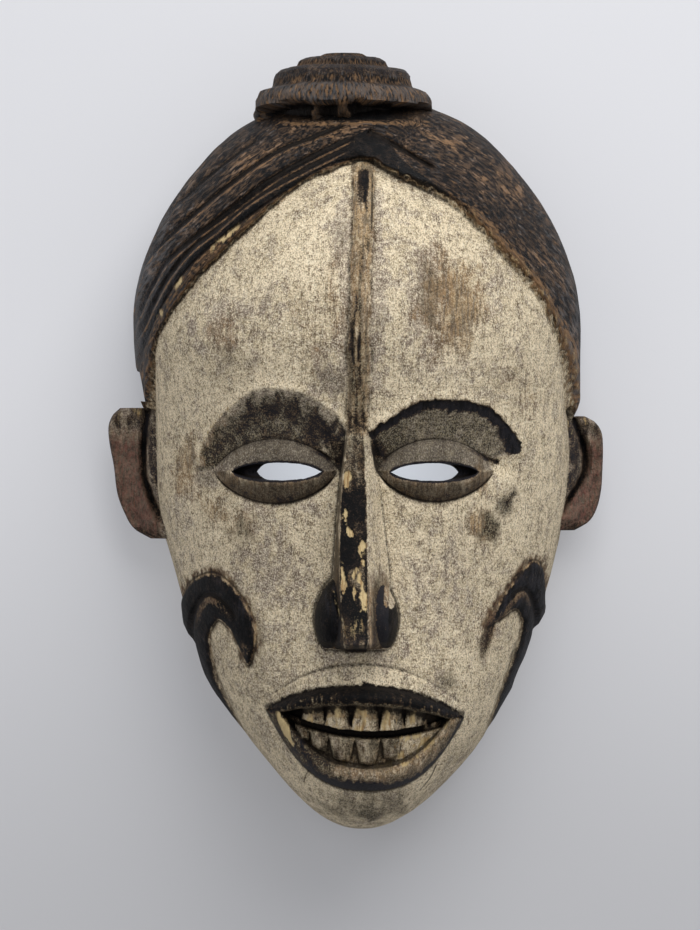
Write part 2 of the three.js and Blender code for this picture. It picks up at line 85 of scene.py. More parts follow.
def bell(value: Array) -> Array:
    """1 at zero, falling to 0 at plus and minus one: (1 - v^2)^2."""
    t = np.clip(1.0 - value * value, 0.0, 1.0)
    return t * t


def srgb(red: int, green: int, blue: int) -> Colour:
    """Linear colour of a display colour given from 0 to 255: the usual curve, undone."""
    def undo(part: int) -> float:
        """One channel."""
        share = part / 255.0
        return share / 12.92 if share <= 0.04045 else ((share + 0.055) / 1.055) ** 2.4

    return (undo(red), undo(green), undo(blue), 1.0)


def cubic(t: Array, before: Array, start: Array, end: Array, after: Array) -> Array:
    """Smooth step from start to end, whose slope at each is that of the chord between its neighbours.

    Args:
        t: share of the way, from 0 to 1.
        before: value one step before the start.
        start: value at the start.
        end: value at the end.
        after: value one step after the end.

    Returns:
        The value at t.
    """
    bend = 2 * before - 5 * start + 4 * end - after + t * (3 * (start - end) + after - before)
    return start + 0.5 * t * (end - before + t * bend)


def ring_value(values: Sequence[float], turn: Array) -> Array:
    """Smooth value round a closed ring of evenly spaced values, by a cubic through each pair of neighbours.

    Args:
        values: values at equal steps round the ring.
        turn: place on the ring, from 0 to 1.

    Returns:
        The value at each place.
    """
    row = np.array(values, np.float32)
    place = (turn % 1.0) * len(row)
    step = np.floor(place).astype(np.int32)
    t = place - step
    return cubic(t, *(row[(step + k) % len(row)] for k in (-1, 0, 1, 2)))


def table_value(table: Sequence[Point], x: Array) -> Array:
    """Smooth value at x along rows of (x, value).

    Each span is a cubic whose end slopes are those of the chords over the neighbouring rows.

    Args:
        table: rows with rising x.
        x: where the value is read; outside the table its end value holds.

    Returns:
        The value at each x.
    """
    xs, ys = np.array(table, np.float32).T
    inside = np.clip(x, xs[0], xs[-1])
    row = np.clip(np.searchsorted(xs, inside, side="left"), 1, len(xs) - 1)
    before = np.maximum(row - 2, 0)
    after = np.minimum(row + 1, len(xs) - 1)
    x0, x1, y0, y1 = xs[row - 1], xs[row], ys[row - 1], ys[row]
    slope0 = (y1 - ys[before]) / (x1 - xs[before])
    slope1 = (ys[after] - y0) / (xs[after] - x0)
    width = x1 - x0
    t = (inside - x0) / width
    s = 1.0 - t
    return y0 * s * s * (1 + 2 * t) + y1 * t * t * (1 + 2 * s) + width * t * s * (slope0 * s - slope1 * t)


@dataclass
class Near:
    """How points lie to a line: distance, distance that is positive on its left, share of its length."""

    gap: Array
    side: Array
    along: Array

    def taper(self, start: float, end: float) -> Array:
        """1 along the line from start to end, two shares of its length, and falling to 0 at both its ends."""
        return ease(0.0, start, self.along) * ease(1.0, end, self.along)


@dataclass(frozen=True)
class CarvedLine:
    """A smooth line on the front, drawn through a few points (millimetres)."""

    points: tuple[Point, ...]
    steps: int = 40
    closed: bool = False

    def course(self) -> Array:
        """Points along the line, by a cubic between each pair of points.

        Returns:
            One row (x, y) for each step.
        """
        given = np.array(self.points, np.float64)
        count = len(given)
        spans = count if self.closed else count - 1
        place = np.linspace(0.0, spans, self.steps + 1)
        step = np.minimum(place.astype(int), spans - 1)
        t = (place - step)[:, None]
        rows = [step + k for k in (-1, 0, 1, 2)]
        return cubic(t, *(given[r % count if self.closed else np.clip(r, 0, count - 1)] for r in rows))

    def near(self, x: Array, y: Array, reach: float = 400.0) -> Near:
        """Finds the nearest place on the line: the nearest foot of a perpendicular on its short chords.

        Args:
            x: places across.
            y: places up.
            reach: how far beside the line it is looked for; further out the gap is this reach.

        Returns:
            Distance, signed distance and share of the length, in the shape of x.
        """
        course = self.course()
        low, high = course.min(0) - reach, course.max(0) + reach
        inside = (x > low[0]) & (x < high[0]) & (y > low[1]) & (y < high[1])
        px, py = x[inside], y[inside]
        best = np.full(px.shape, reach * reach, np.float32)
        side = np.full(px.shape, -1.0, np.float32)
        along = np.zeros(px.shape, np.float32)
        for i, (a, b) in enumerate(zip(course[:-1], course[1:])):
            ux, uy = b - a
            dx, dy = px - a[0], py - a[1]
            t = np.clip((dx * ux + dy * uy) / (ux * ux + uy * uy), 0.0, 1.0)
            dx, dy = dx - t * ux, dy - t * uy
            square = dx * dx + dy * dy
            closer = square < best
            best = np.where(closer, square, best)
            side = np.where(closer, np.sign(ux * dy - uy * dx), side)
            along = np.where(closer, (i + t) / self.steps, along)
        gap = np.full(x.shape, reach, np.float32)
        signed = np.full(x.shape, -reach, np.float32)
        share = np.zeros(x.shape, np.float32)
        gap[inside] = np.sqrt(best)
        signed[inside] = gap[inside] * side
        share[inside] = along
        return Near(gap, signed, share)

    def depth_inside(self, x: Array, y: Array, reach: float = 12.0) -> Array:
        """Distance inside a closed line, with a minus sign outside: a point is inside if a ray to the right
        crosses the line an odd number of times.

        Args:
            x: places across.
            y: places up.
            reach: how far outside the distance is worked out.

        Returns:
            Distance to the line, positive inside.
        """
        gap = self.near(x, y, reach).gap
        odd = np.zeros(x.shape, bool)
        course = self.course()
        for (ax, ay), (bx, by) in zip(course[:-1], course[1:]):
            crosses = (ay > y) != (by > y)
            odd ^= crosses & (x < (bx - ax) * (y - ay) / (by - ay + 1e-9) + ax)
        return np.where(odd, gap, -gap)


@dataclass(frozen=True)
class Grain:
    """A smooth random field: seeded numbers on a lattice that repeats, blended between its points."""

    seed: int
    cells: int = 32

    def at(self, x: Array, y: Array, z: Array, pitch: float | Size) -> Array:
        """Reads the field.

        Args:
            x: places across, in millimetres.
            y: places up.
            z: places out of the face.
            pitch: distance between lattice points, one value or one for each axis.

        Returns:
            A value from -1 to 1 at each place.
        """
        lattice = np.random.default_rng(self.seed).random((self.cells,) * 3, dtype=np.float32) * 2.0 - 1.0
        pitches = (pitch,) * 3 if isinstance(pitch, (int, float)) else pitch
        steps, blends = [], []
        for value, size in zip((x, y, z), pitches):
            place = value / size
            step = np.floor(place)
            t = place - step
            steps.append(step.astype(np.int32))
            blends.append(t * t * (3.0 - 2.0 * t))
        total = np.zeros(x.shape, np.float32)
        for corner in range(8):
            offsets = [(corner >> axis) & 1 for axis in range(3)]
            weight = 1.0
            for offset, blend in zip(offsets, blends):
                weight = weight * (blend if offset else 1.0 - blend)
            index = tuple((step + offset) % self.cells for step, offset in zip(steps, offsets))
            total += weight * lattice[index]
        return total


class Coat(Enum):
    """What lies on the wood at a point. Each is a share from 0 to 1, kept on the mesh under this name, but
    the last two are places in millimetres across and along the strands of hair.
    """

    BLACK = "black"
    HAIR = "hair"
    # Grime, and painted shade: at the nose's foot and under it, on the steep sides, the chin, shaded teeth
    # facets and the slit holes' walls.
    GRIME_AND_SHADE = "grime"
    # Violet-grey rubbed wood on the pale ground; on black paint a bluish painted sheen; on the hair an ashy
    # grey, partly dust and partly painted sheen.
    VIOLET_AND_SHEEN = "violet"
    # Brown wood and stain; on the hair's groove lips and the scars' arches it is also a painted highlight.
    BROWN = "brown"
    # Bare pale wood where the paint is worn off; on the left brow's edge and the upper teeth's lit facets it
    # is a painted highlight.
    BARE_AND_HIGHLIGHT = "bare"
    RED = "red"
    # Dirt and painted shade in hollows: darker where the carving dips below its surroundings.
    DIRT_AND_SHADE = "dent"
    CREST = "crest"
    SMOOTH = "smooth"
    ACROSS = "across"
    ALONG = "along"


@dataclass
class Front:
    """The front's grid: place and height of the smooth shell, the carving on it, and its coats of paint."""

    x: Array
    y: Array
    z: Array
    fraction: Array
    grain: Grain
    height: Array = field(init=False)
    proud: Array = field(init=False)
    sheltered: Array = field(init=False)
    coats: dict[Coat, Array] = field(init=False)

    def __post_init__(self) -> None:
        """Starts with no carving and no paint."""
        self.height = np.zeros(self.x.shape, np.float32)
        self.proud = np.zeros(self.x.shape, np.float32)
        self.sheltered = np.zeros(self.x.shape, np.float32)
        self.coats = {coat: np.zeros(self.x.shape, np.float32) for coat in Coat}

    def noise(self, coarse: float | Size, fine: float | Size | None = None, share: float = 0.5) -> Array:
        """Random field on the front, with a share of a finer one on top where its pitch is given.

        Args:
            coarse: pitch of the field.
            fine: pitch of the finer one, or None.
            share: how strongly the finer one counts.

        Returns:
            A value round 0 at each place.
        """
        value = self.grain.at(self.x, self.y, self.z, coarse)
        return value if fine is None else value + share * self.grain.at(self.x, self.y, self.z, fine)

    def add(self, height: Array) -> None:
        """Adds a form's height to the carving."""
        self.height += height

    def stand(self, height: Array) -> None:
        """Lets a form that stands on the shell by itself cover lower ones: the highest wins."""
        self.proud = np.maximum(self.proud, height)

    def lay(self, coat: Coat, share: Array) -> None:
        """Lays a coat over what is there: the larger share stays."""
        self.coats[coat] = np.maximum(self.coats[coat], np.clip(share, 0.0, 1.0))

    def shelter(self, share: Array) -> None:
        """Keeps edges here from being rubbed pale."""
        self.sheltered = np.maximum(self.sheltered, np.clip(share, 0.0, 1.0))

    def clear(self, coat: Coat, share: Array) -> None:
        """Takes a share of a coat off again."""
        self.coats[coat] *= 1.0 - np.clip(share, 0.0, 1.0)


class Form:
    """A form that is cut into the front."""

    def carve(self, front: Front) -> None:
        """Cuts the form and paints it.

        Args:
            front: the front that is carved and painted.
        """
        raise NotImplementedError


@dataclass(frozen=True)
class HeadShell:
    """The smooth dome of the head: its outline from the front and its depth over the rim."""

    radii: tuple[float, ...] = (
        150.4, 146.6, 132.4, 117.2, 101.6, 96.4, 97.4, 105.4, 121.3, 149.3,
        168.8, 140.9, 116.3, 98.3, 92.4, 90.4, 99.0, 116.6, 132.2, 146.6,
    )
    depth: tuple[Point, ...] = (
        (-170, 180), (-140, 142), (-105, 120), (-60, 103), (-20, 102), (10, 109), (50, 124), (114, 135),
        (152, 145),
    )
    roundness: float = 2.2

    def place(self, p: Array, q: Array, wall: float) -> tuple[Array, Array, Array]:
        """Place on the shell for a square grid: the square's corners are drawn in to a disc, and the disc's
        radius is spread by a sine so that its steps stay even along the steep rim.

        Args:
            p: places across the square, from -1 to 1.
            q: places up the square, from -1 to 1.
            wall: how far the outline is drawn in.

        Returns:
            x, y and the fraction of the way from the centre to the outline.
        """
        a = p * np.sqrt(1.0 - q * q / 2.0)
        b = q * np.sqrt(1.0 - p * p / 2.0)
        fraction = np.sin(np.pi / 2.0 * np.minimum(np.hypot(a, b), 1.0))
        turn = np.arctan2(a, b + 1e-12)
        radius = (ring_value(self.radii, turn / (2.0 * np.pi)) - wall) * fraction
        return radius * np.sin(turn), radius * np.cos(turn), fraction

    def height(self, y: Array, fraction: Array, lower: float | Array) -> Array:
        """Height over the rim: depth times (1 - f^n)^(1/n), a rounded edge of roundness n.

        Args:
            y: places up the face.
            fraction: share of the way from the centre to the outline.
            lower: how far the shell lies under the front.

        Returns:
            The height at each place.
        """
        edge = np.maximum(1.0 - fraction**self.roundness, 0.0) ** (1.0 / self.roundness)
        return (table_value(self.depth, y) - lower) * edge

    def front(self, size: int, grain: Grain) -> Front:
        """The smooth front on a square grid whose lines are gathered in the middle of the face.

        Args:
            size: number of cells along one side of the grid.
            grain: random field of the front.

        Returns:
            The front without carving.
        """
        row = np.linspace(-1.0, 1.0, size + 1)
        across = row * (0.8 + 0.2 * row * row)
        up = row * (0.72 + 0.28 * row * row)
        p, q = np.meshgrid(across, up)
        x, y, fraction = self.place(p, q, 0.0)
        z = self.height(y, fraction, 0.0)
        return Front(*(value.astype(np.float32) for value in (x, y, z, fraction)), grain)


@dataclass(frozen=True)
class HairCap(Form):
    """Cap of hair round the face: combed strands with gouged grooves on the left, one on the right."""

    edge: CarvedLine = CarvedLine((
        (-91, 16), (-85.7, 41.5), (-69.8, 63.9), (-51.6, 81.7), (-27, 103.6), (-12, 112.1), (4, 117),
        (15.5, 110.8), (40.4, 98.6), (57.4, 82.1), (78.2, 59.6), (91.7, 30.7), (94.4, 17),
    ), 72)
    grooves: tuple[CarvedLine, ...] = (
        CarvedLine((
            (-4, 133.5), (-18.7, 127), (-35.7, 119.4), (-63.5, 99.4), (-86.8, 80), (-93.7, 63.5),
            (-99, 47.6),
        )),
        CarvedLine((
            (1, 128.5), (-31.7, 110.4), (-55.8, 93.4), (-78.1, 77.7), (-85.9, 67.1), (-92.7, 53.6),
            (-98, 41),
        )),
        CarvedLine((
            (-1, 123.5), (-40.3, 101.8), (-58.6, 87.6), (-68.1, 80.8), (-78, 70.3), (-86, 57.5), (-97, 36),
        )),
        CarvedLine((
            (3, 118.6), (-11.6, 114.4), (-25.4, 106.2), (-60.6, 81.1), (-76.2, 65.6), (-88.2, 46.8),
            (-94, 32),
        )),
        CarvedLine(((4.9, 129.8), (11.6, 126), (23.4, 118.4), (33, 112.5))),
        CarvedLine(((-40, 128), (-62, 112), (-84, 92), (-97, 72), (-102, 56))),
    )
    rise: float = 3.0
    cut: float = 3.1
    length: float = 330.0
    sink: float = 3.6
    sink_reach: float = 26.0
    sink_fade: float = 30.0
    end_low: float = 4.0
    end_high: float = 20.0

    def carve(self, front: Front) -> None:
        """Raises the cap by an S-curve across its edge, cuts the face down beside it by a falling
        exponential, and cuts each groove as a narrow bell in a wider one. Between the innermost groove and
        the face the wood slopes down in a strip.

        Args:
            front: the front that is carved and painted.
        """
        x, y = front.x, front.y
        edge = self.edge.near(x, y)
        low_end = ease(self.end_low, self.end_high, y)
        frayed = front.noise(2.6, 1.2, 0.7)
        away = ease(1.0, 0.93, front.fraction)
        fringe = edge.side + frayed * (0.3 + 0.8 * ease(-6.0, 20.0, x))
        on_hair = ease(-0.9, 0.9, fringe) * low_end
        beside = ease(self.end_low - self.sink_fade, self.end_high, y)
        beside = beside * np.exp(np.minimum(edge.side, 0.0) / self.sink_reach)
        lines = [groove.near(x, y, 14.0) for groove in self.grooves]
        inner = lines[3]
        in_strip = ease(-0.3, 0.7, inner.side) * ease(4.0, 0.0, x)
        strip = edge.side / (edge.side + inner.gap + 1e-3)
        slope = 1.0 - in_strip * (0.8 - 0.35 * strip)
        cuts, dark, lit = (np.zeros_like(x) for _ in range(3))
        for index, line in enumerate(lines):
            ends = line.taper(0.05, 0.86)
            width = (2.3 - 0.9 * line.along) * (0.6 if index > 4 else 1.0)
            depth = self.cut * (0.55 if index in (3, 5) else 1.0) * ends
            cuts += depth * (0.72 * bell(line.gap / width) + 0.38 * bell(line.gap / (2.4 * width)))
            dark = np.maximum(dark, bell((line.gap - 0.3) / (width * 0.8)) * ends)
            # lit: the strand's shoulder just below each groove, where a painted highlight goes.
            if index < 4:
                lit = np.maximum(lit, bell((line.side - 1.0 * width) / 0.7) * ends)
        rough = 0.3 * front.noise((2.2, 6.0, 3.0)) + 0.35 * front.noise(7.0)
        soft = 0.9 + 1.6 * ease(10.0, 40.0, x)
        raised = ease(-soft, soft, edge.side + 0.5 * frayed) * low_end
        hair = self.rise * slope - cuts * away + rough * away
        front.add(raised * hair - (1.0 - raised) * self.sink * beside)
        front.lay(Coat.HAIR, on_hair)
        front.coats[Coat.ACROSS] = edge.side
        front.coats[Coat.ALONG] = edge.along * self.length
        band = self.front_band(edge, lines, x)
        front.lay(Coat.BLACK, on_hair * np.maximum(band, dark))
        # Painted highlight lines: the black gives way to brown on the strands' lit shoulders.
        front.clear(Coat.BLACK, lit * 0.8)
        # Painted shade: black on the dome in the dark hollow under the knot's lowest tier.
        broken = bell((x + 1.5) / 34.0) ** 0.3 * ease(133.6, 135.4, y + 0.8 * rough) * ease(146.0, 143.0, y)
        front.lay(Coat.BLACK, broken)
        front.lay(Coat.BROWN, bell((y - 133.4) / 1.4) * bell((x + 1.5) / 38.0) ** 0.3)
        # Brown painted highlight lines along the groove lips, partly worn wood.
        front.lay(Coat.BROWN, on_hair * lit * (0.85 + 0.3 * front.noise(5.0)))
        front.lay(Coat.BROWN, in_strip * on_hair * 0.5)
        front.lay(Coat.GRIME_AND_SHADE, in_strip * on_hair * 0.6)
        # Ashy grey on both flanks of the hair: partly dust, partly a painted sheen.
        front.lay(Coat.VIOLET_AND_SHEEN, on_hair * ease(-60.0, -92.0, x) * (0.5 + 0.3 * front.noise(12.0)))
        front.lay(Coat.VIOLET_AND_SHEEN, on_hair * ease(70.0, 96.0, x) * 0.35)
        front.lay(Coat.BARE_AND_HIGHLIGHT, self.chips(front, strip, inner) * on_hair)
        self.paint_edge(front, fringe, frayed)

    def paint_edge(self, front: Front, fringe: Array, frayed: Array) -> None:
        """Brown grime under the edge of the hair, and worn brown ends of the strands on the right.

        Args:
            front: the front that is painted.
            fringe: distance inside the frayed edge.
            frayed: the noise that frays it.
        """
        low_end = ease(self.end_low, self.end_high, front.y)
        under = ease(-3.0, 0.0, fringe) * ease(3.0, 0.2, fringe) * low_end
        front.lay(Coat.GRIME_AND_SHADE, under * (0.2 + 0.4 * frayed))
        front.lay(Coat.BROWN, under * (0.7 + 0.5 * frayed))
        gritty = bell((fringe - 1.6) / 4.4) * ease(30.0, 62.0, front.x) * low_end
        front.lay(Coat.BARE_AND_HIGHLIGHT, 0.36 * gritty * ease(-0.3, 0.6, frayed))
        front.lay(Coat.BROWN, gritty * 0.9)

    def front_band(self, edge: Near, lines: list[Near], x: Array) -> Array:
        """Black paint on the strands by the face: between two of the grooves on the left, and a band that
        thins out on the right of the peak.

        Args:
            edge: how points lie to the edge of the hair.
            lines: how they lie to each groove.
            x: places across.

        Returns:
            Share of black.
        """
        left = ease(0.4, -0.4, lines[3].side) * ease(-0.4, 0.4, lines[1].side) * ease(8.0, 4.0, x)
        width = 11.0 - 9.5 * ease(0.5, 0.68, edge.along)
        right = ease(width + 1.2, width - 1.2, edge.side) * ease(-2.0, 2.0, x) * ease(0.76, 0.62, edge.along)
        return np.maximum(left * (1.0 - 0.25 * ease(0.3, 0.9, lines[3].along)), right)

    def chips(self, front: Front, strip: Array, line: Near) -> Array:
        """Pale chips in short runs on the sloping strip between the innermost groove and the face.

        Args:
            front: the front, for its places.
            strip: share of the way from the face to the groove.
            line: how points lie to the innermost groove.

        Returns:
            Share of bare wood.
        """
        runs = sum(bell((line.along - at) / half) for at, half in ((0.47, 0.06), (0.64, 0.05), (0.76, 0.025)))
        hatch = front.noise((1.3, 4.0, 4.0))
        inside = ease(0.3, 0.55, strip) * ease(1.0, 0.9, strip) * ease(-0.5, 0.5, line.side)
        return runs * inside * ease(-0.35, 0.2, hatch) * 0.85


@dataclass(frozen=True)
class ForeheadRidge(Form):
    """Narrow keel from the hair down to the root of the nose, with a shallow gutter on each side."""

    line: CarvedLine = CarvedLine(((3.2, 113), (2.1, 78.7), (0.7, 28.3), (0.3, 2)), 16)
    half: float = 4.4
    high: float = 3.0
    gutter: float = 0.3

    def carve(self, front: Front) -> None:
        """Raises the keel with a flat-topped bell and lowers a gutter beside it.

        Args:
            front: the front that is carved and painted.
        """
        x, y = front.x, front.y
        near = self.line.near(x, y, 30.0)
        ends = ease(118.0, 114.0, y)
        wave = 0.6 * front.noise((3.0, 9.0, 30.0)) + 0.3 * front.noise(1.6)
        gap = near.gap + wave
        front.stand(self.high * (1.0 - 0.3 * near.along) * bell(gap / self.half) ** 0.5 * ends)
        beside = bell((gap - self.half - 1.0) / 2.4) * ends * ease(-2.0, 8.0, y)
        front.add(-self.gutter * beside)
        streak = front.noise((1.3, 14.0, 30.0), (0.8, 5.0, 9.0), 0.5)
        on = ease(self.half + 1.6, self.half - 1.4, gap + 1.2 * streak) * ends * ease(0.0, 6.0, y)
        low = ease(78.0, 30.0, y)
        front.lay(Coat.BROWN, on * (1.0 + 0.4 * streak))
        front.lay(Coat.VIOLET_AND_SHEEN, on * 0.6 * bell((y - 62.0) / 26.0))
        front.lay(Coat.GRIME_AND_SHADE, on * (0.2 + 0.36 * low + 0.4 * streak))
        front.lay(Coat.BLACK, on * ease(20.0, 8.0, y) * (0.6 + 0.4 * streak))
        beside = bell((gap - self.half - 0.6) / 2.2) * ends
        front.lay(Coat.GRIME_AND_SHADE, beside * (0.2 + 0.55 * streak))
        narrow = ease(2.9, 2.0, np.abs(near.side + 0.2) + 0.4 * wave)
        tip = ease(94.0, 100.0, y + 1.6 * np.abs(near.side + 0.5)) * narrow
        front.lay(Coat.BLACK, tip * ease(114.0, 110.0, y) * (0.72 + 0.3 * streak))
        flake = front.noise((2.2, 10.0, 9.0)) + 0.4 * streak
        front.lay(Coat.BLACK, on * (0.45 * ease(0.35, 0.75, flake) + 0.4 * low * ease(-0.3, 0.5, streak)))
        front.shelter(on * 0.8)
        gutters = bell((near.gap - 6.5) / 5.0)
        front.lay(Coat.VIOLET_AND_SHEEN, gutters * ease(10.0, 30.0, y) * ease(112.0, 96.0, y) * 0.8)


@dataclass(frozen=True)
class Nose(Form):
    """Long straight nose: a flat crest that widens downwards, steep flanks, drop-shaped wings, flat below."""

    top: float = 6.0
    bottom: float = -82.2
    root_high: float = 3.5
    tip_high: float = 32.0
    crest: tuple[Point, ...] = ((-84, 4.4), (-60, 5.4), (-45, 5.4), (-20, 4.9), (4, 3.0), (10, 2.0))
    left_foot: tuple[Point, ...] = ((-84, 11.6), (-58, 9.0), (-45, 7.8), (-25, 6.4), (-8, 4.8), (6, 4.4))
    right_foot: tuple[Point, ...] = ((-84, 13.0), (-58, 15.0), (-45, 14.0), (-25, 11.6), (-8, 9.0), (6, 5.4))
    bend: float = -1.2
    wing_reach: float = 10.8
    wing_y: float = -70.5
    wing_half: float = 6.6
    wing_tall: float = 15.0
    wing_high: float = 20.0
    crack: CarvedLine = CarvedLine(((-9.6, -59), (-7.6, -66), (-5.4, -72), (-3.8, -78)), 12)
    chips: tuple[tuple[float, float, float, float], ...] = (
        (-3.6, -13.6, 1.6, 6.0), (-4.4, -30.0, 1.3, 4.0), (-2.9, -36.0, 1.8, 2.6), (1.9, -42.6, 2.5, 5.2),
        (-5.4, -53.5, 1.5, 7.4), (-1.2, -53.0, 1.2, 6.0), (1.2, -55.5, 3.0, 7.0), (2.6, -62.5, 2.7, 6.2),
        (-0.6, -60.0, 1.3, 4.4), (3.0, -49.0, 1.2, 4.0), (0.0, -74.0, 5.0, 7.0),
    )

    def end(self, y: Array) -> Array:
        """Underside: the nose and its wings stop on a steep step with a small round at the edge."""
        return ease(self.bottom - 2.6, self.bottom + 2.0, y) ** 0.7

    def middle(self, y: Array) -> Array:
        """Sideways bend of the crest: a half sine from the root to the tip."""
        t = np.clip((self.top - y) / (self.top - self.bottom), 0.0, 1.0)
        return self.bend * np.sin(np.pi * t)

    def body(self, x: Array, y: Array) -> Array:
        """Height of crest and flanks: it grows to the tip, and each flank is an eased straight ramp.

        Args:
            x: places across.
            y: places up.

        Returns:
            Height over the shell.
        """
        t = np.clip((self.top - y) / (self.top - self.bottom), 0.0, 1.0)
        beside = x - self.middle(y)
        crest = table_value(self.crest, y)
        foot = np.where(beside < 0.0, table_value(self.left_foot, y), table_value(self.right_foot, y))
        foot = np.maximum(foot, crest + 1.2)
        ramp = np.clip((foot - np.abs(beside)) / (foot - crest), 0.0, 1.0)
        across = 0.5 * ramp + 0.5 * ease(0.0, 1.0, ramp)
        high = self.root_high + (self.tip_high - self.root_high) * t**1.1
        camber = 0.5 * bell(beside / (crest + 2.0))
        return (high * across + camber * across) * self.end(y) * ease(self.top + 10.0, self.top - 6.0, y)

    def wing(self, x: Array, y: Array) -> Array:
        """Height of the nostril wings: half a drop on each side, fuller below, cut flat with the nose.
        Inwards it falls off slowly, so that it meets the flank without a valley.

        Args:
            x: places across.
            y: places up.

        Returns:
            Height over the shell.
        """
        outward = np.abs(x) - self.wing_reach + 2.6 * ease(-74.0, -55.0, y)
        across = np.maximum(outward, 0.28 * outward) / self.wing_half
        up = (y - self.wing_y) / self.wing_tall
        return self.wing_high * np.maximum(1.0 - across * across - up * up, 0.0) ** 0.5 * self.end(y)

    def carve(self, front: Front) -> None:
        """Stands the nose and its wings on the shell, with a crack down the left flank.

        Args:
            front: the front that is carved and painted.
        """
        x, y = front.x, front.y
        body, wing = self.body(x, y), self.wing(x, y)
        crack = self.crack.near(x, y, 8.0)
        ends = crack.taper(0.1, 0.8)
        rough = front.noise((1.2, 3.4, 3.0), 0.9, 0.5)
        front.stand(np.maximum(body, wing) - 1.3 * bell(crack.gap / 1.0) * ends)
        top = self.paint(front, body, wing, rough)
        front.lay(Coat.BARE_AND_HIGHLIGHT, bell(crack.gap / 1.1) * ends * ease(-0.4, 0.4, rough) * 0.7)
        self.chip(front, top, rough)
        self.shade(front, np.maximum(body, wing), rough)

    def paint(self, front: Front, body: Array, wing: Array, rough: Array) -> Array:
        """Black crest and wings, sooty brown flanks with a light line at the edge of the right one.

        Args:
            front: the front that is painted.
            body: height of crest and flanks.
            wing: height of the wings.
            rough: noise that breaks up the paint.

        Returns:
            Share of the crest.
        """
        x, y = front.x, front.y
        beside = x - self.middle(y)
        crest = table_value(self.crest, y)
        under = ease(self.bottom - 4.2, self.bottom - 2.8, y)
        on = ease(0.5, 1.6, body) * under
        root = ease(self.top + 6.0, self.top - 8.0, y)
        edge = 0.5 * rough
        top = ease(crest + 0.7, crest - 0.5, np.abs(beside) + edge) * root * under
        left = ease(crest - 0.5, crest + 0.7, -beside - edge) * on * root
        right = ease(crest - 0.5, crest + 0.7, beside + edge) * on * root
        low = ease(-48.0, -60.0, y)
        strands = front.noise((1.0, 11.0, 9.0))
        front.lay(Coat.BLACK, top * (0.9 + 0.12 * rough) * (1.0 - 0.4 * ease(-24.0, -12.0, y)))
        front.lay(Coat.SMOOTH, 0.8 * np.maximum(np.maximum(top, left), right * low))
        front.lay(Coat.GRIME_AND_SHADE, top * 0.8)
        front.lay(Coat.BROWN, left)
        front.lay(Coat.VIOLET_AND_SHEEN, left * 0.4)
        front.lay(Coat.GRIME_AND_SHADE, left * (0.84 + 0.2 * strands) + right * (0.12 + low * (0.62 + 0.3 * strands)))
        front.lay(Coat.VIOLET_AND_SHEEN, right * (0.2 + 0.7 * low))
        front.lay(Coat.BROWN, right * low * 0.8)
        front.lay(Coat.BLACK, left * (0.3 + 0.3 * strands + 0.35 * ease(-54.0, -66.0, y)))
        front.lay(Coat.BLACK, right * ease(-56.0, -66.0, y) * (0.35 + 0.35 * strands))
        front.lay(Coat.BROWN, top * 0.9 * ease(-0.3, 0.5, rough))
        front.clear(Coat.BLACK, top * 0.4 * ease(0.05, 0.6, front.noise((2.6, 9.0, 5.0))))
        on_wing = ease(0.3, 1.4, wing - body) * under
        patch = 1.3 * bell((x - 13.6) / 3.8) * bell((y + 61.5) / 9.0)
        front.lay(Coat.BLACK, on_wing * ease(0.55, 0.25, patch * (1.0 + 0.4 * rough)))
        front.clear(Coat.GRIME_AND_SHADE, patch * on_wing)
        light_line = bell((beside - crest - 1.0) / 0.9) * low * under
        front.clear(Coat.GRIME_AND_SHADE, light_line * 0.8)
        front.shelter(0.7 * np.maximum(on_wing, top))
        return top

    def chip(self, front: Front, top: Array, rough: Array) -> None:
        """Breaks pale chips out of the crest.

        Args:
            front: the front that is carved and painted.
            top: share of the crest.
            rough: noise that makes their edges uneven.
        """
        x, y = front.x, front.y
        wear = np.zeros_like(x)
        for cx, cy, half, tall in self.chips:
            strong = 0.42 if cy < -66.0 else 1.0
            shape = 1.0 - np.hypot((x - cx) / half, (y - cy) / tall) + 0.6 * rough
            wear = np.maximum(wear, ease(0.1, 0.7, shape) * strong)
        front.lay(Coat.BARE_AND_HIGHLIGHT, 0.9 * wear * top)
        front.add(-0.3 * ease(0.4, 0.7, wear) * top)

    def shade(self, front: Front, high: Array, rough: Array) -> None:
        """Painted shade along the left foot of the nose and a painted shadow under it.

        Args:
            front: the front that is painted.
            high: height of the nose and its wings.
            rough: noise that breaks up the paint.
        """
        x, y = front.x, front.y
        front.shelter(ease(0.2, 1.0, high) * ease(self.bottom + 6.0, self.bottom + 2.0, y))
        # Painted shade along the nose's left foot.
        foot = ease(0.0, 0.5, high) * ease(2.6, 0.6, high)
        front.lay(Coat.GRIME_AND_SHADE, foot * (0.3 + 0.25 * rough) * ease(10.0, -10.0, y) * ease(4.0, -2.0, x))
        # Painted shadow under the nose, with a wider violet-grey halo of painted shade.
        below = bell((y - self.bottom + 4.0) / 7.0) * bell(x / 24.0)
        front.lay(Coat.GRIME_AND_SHADE, below * (0.3 + 0.2 * rough))
        front.lay(Coat.VIOLET_AND_SHEEN, bell((y - self.bottom + 4.0) / 14.0) * bell(x / 34.0) * 0.6)


@dataclass(frozen=True)
class Slit:
    """Eye slit: a lens-shaped cut, through the wood in the part given and blind at its outer corner."""

    x: float
    y: float
    half: float
    through: Point
    tall_up: float = 3.8
    tall_down: float = 3.6

    def bow(self, x: Array, up: bool) -> Array:
        """Height of the lens over its middle line at x: (1 - u^2)^0.62 of its half height, and less than
        nothing beyond its corners.
        """
        u = (x - self.x) / self.half
        tall = self.tall_up if up else self.tall_down
        return tall * np.maximum(1.0 - u * u, 0.0) ** 0.62 - self.half * np.maximum(np.abs(u) - 1.0, 0.0)

    def inside(self, x: Array, y: Array) -> Array:
        """Distance inside the lens, roughly, positive inside."""
        rise = y - self.y
        return np.where(rise > 0.0, self.bow(x, True) - rise, self.bow(x, False) + rise)


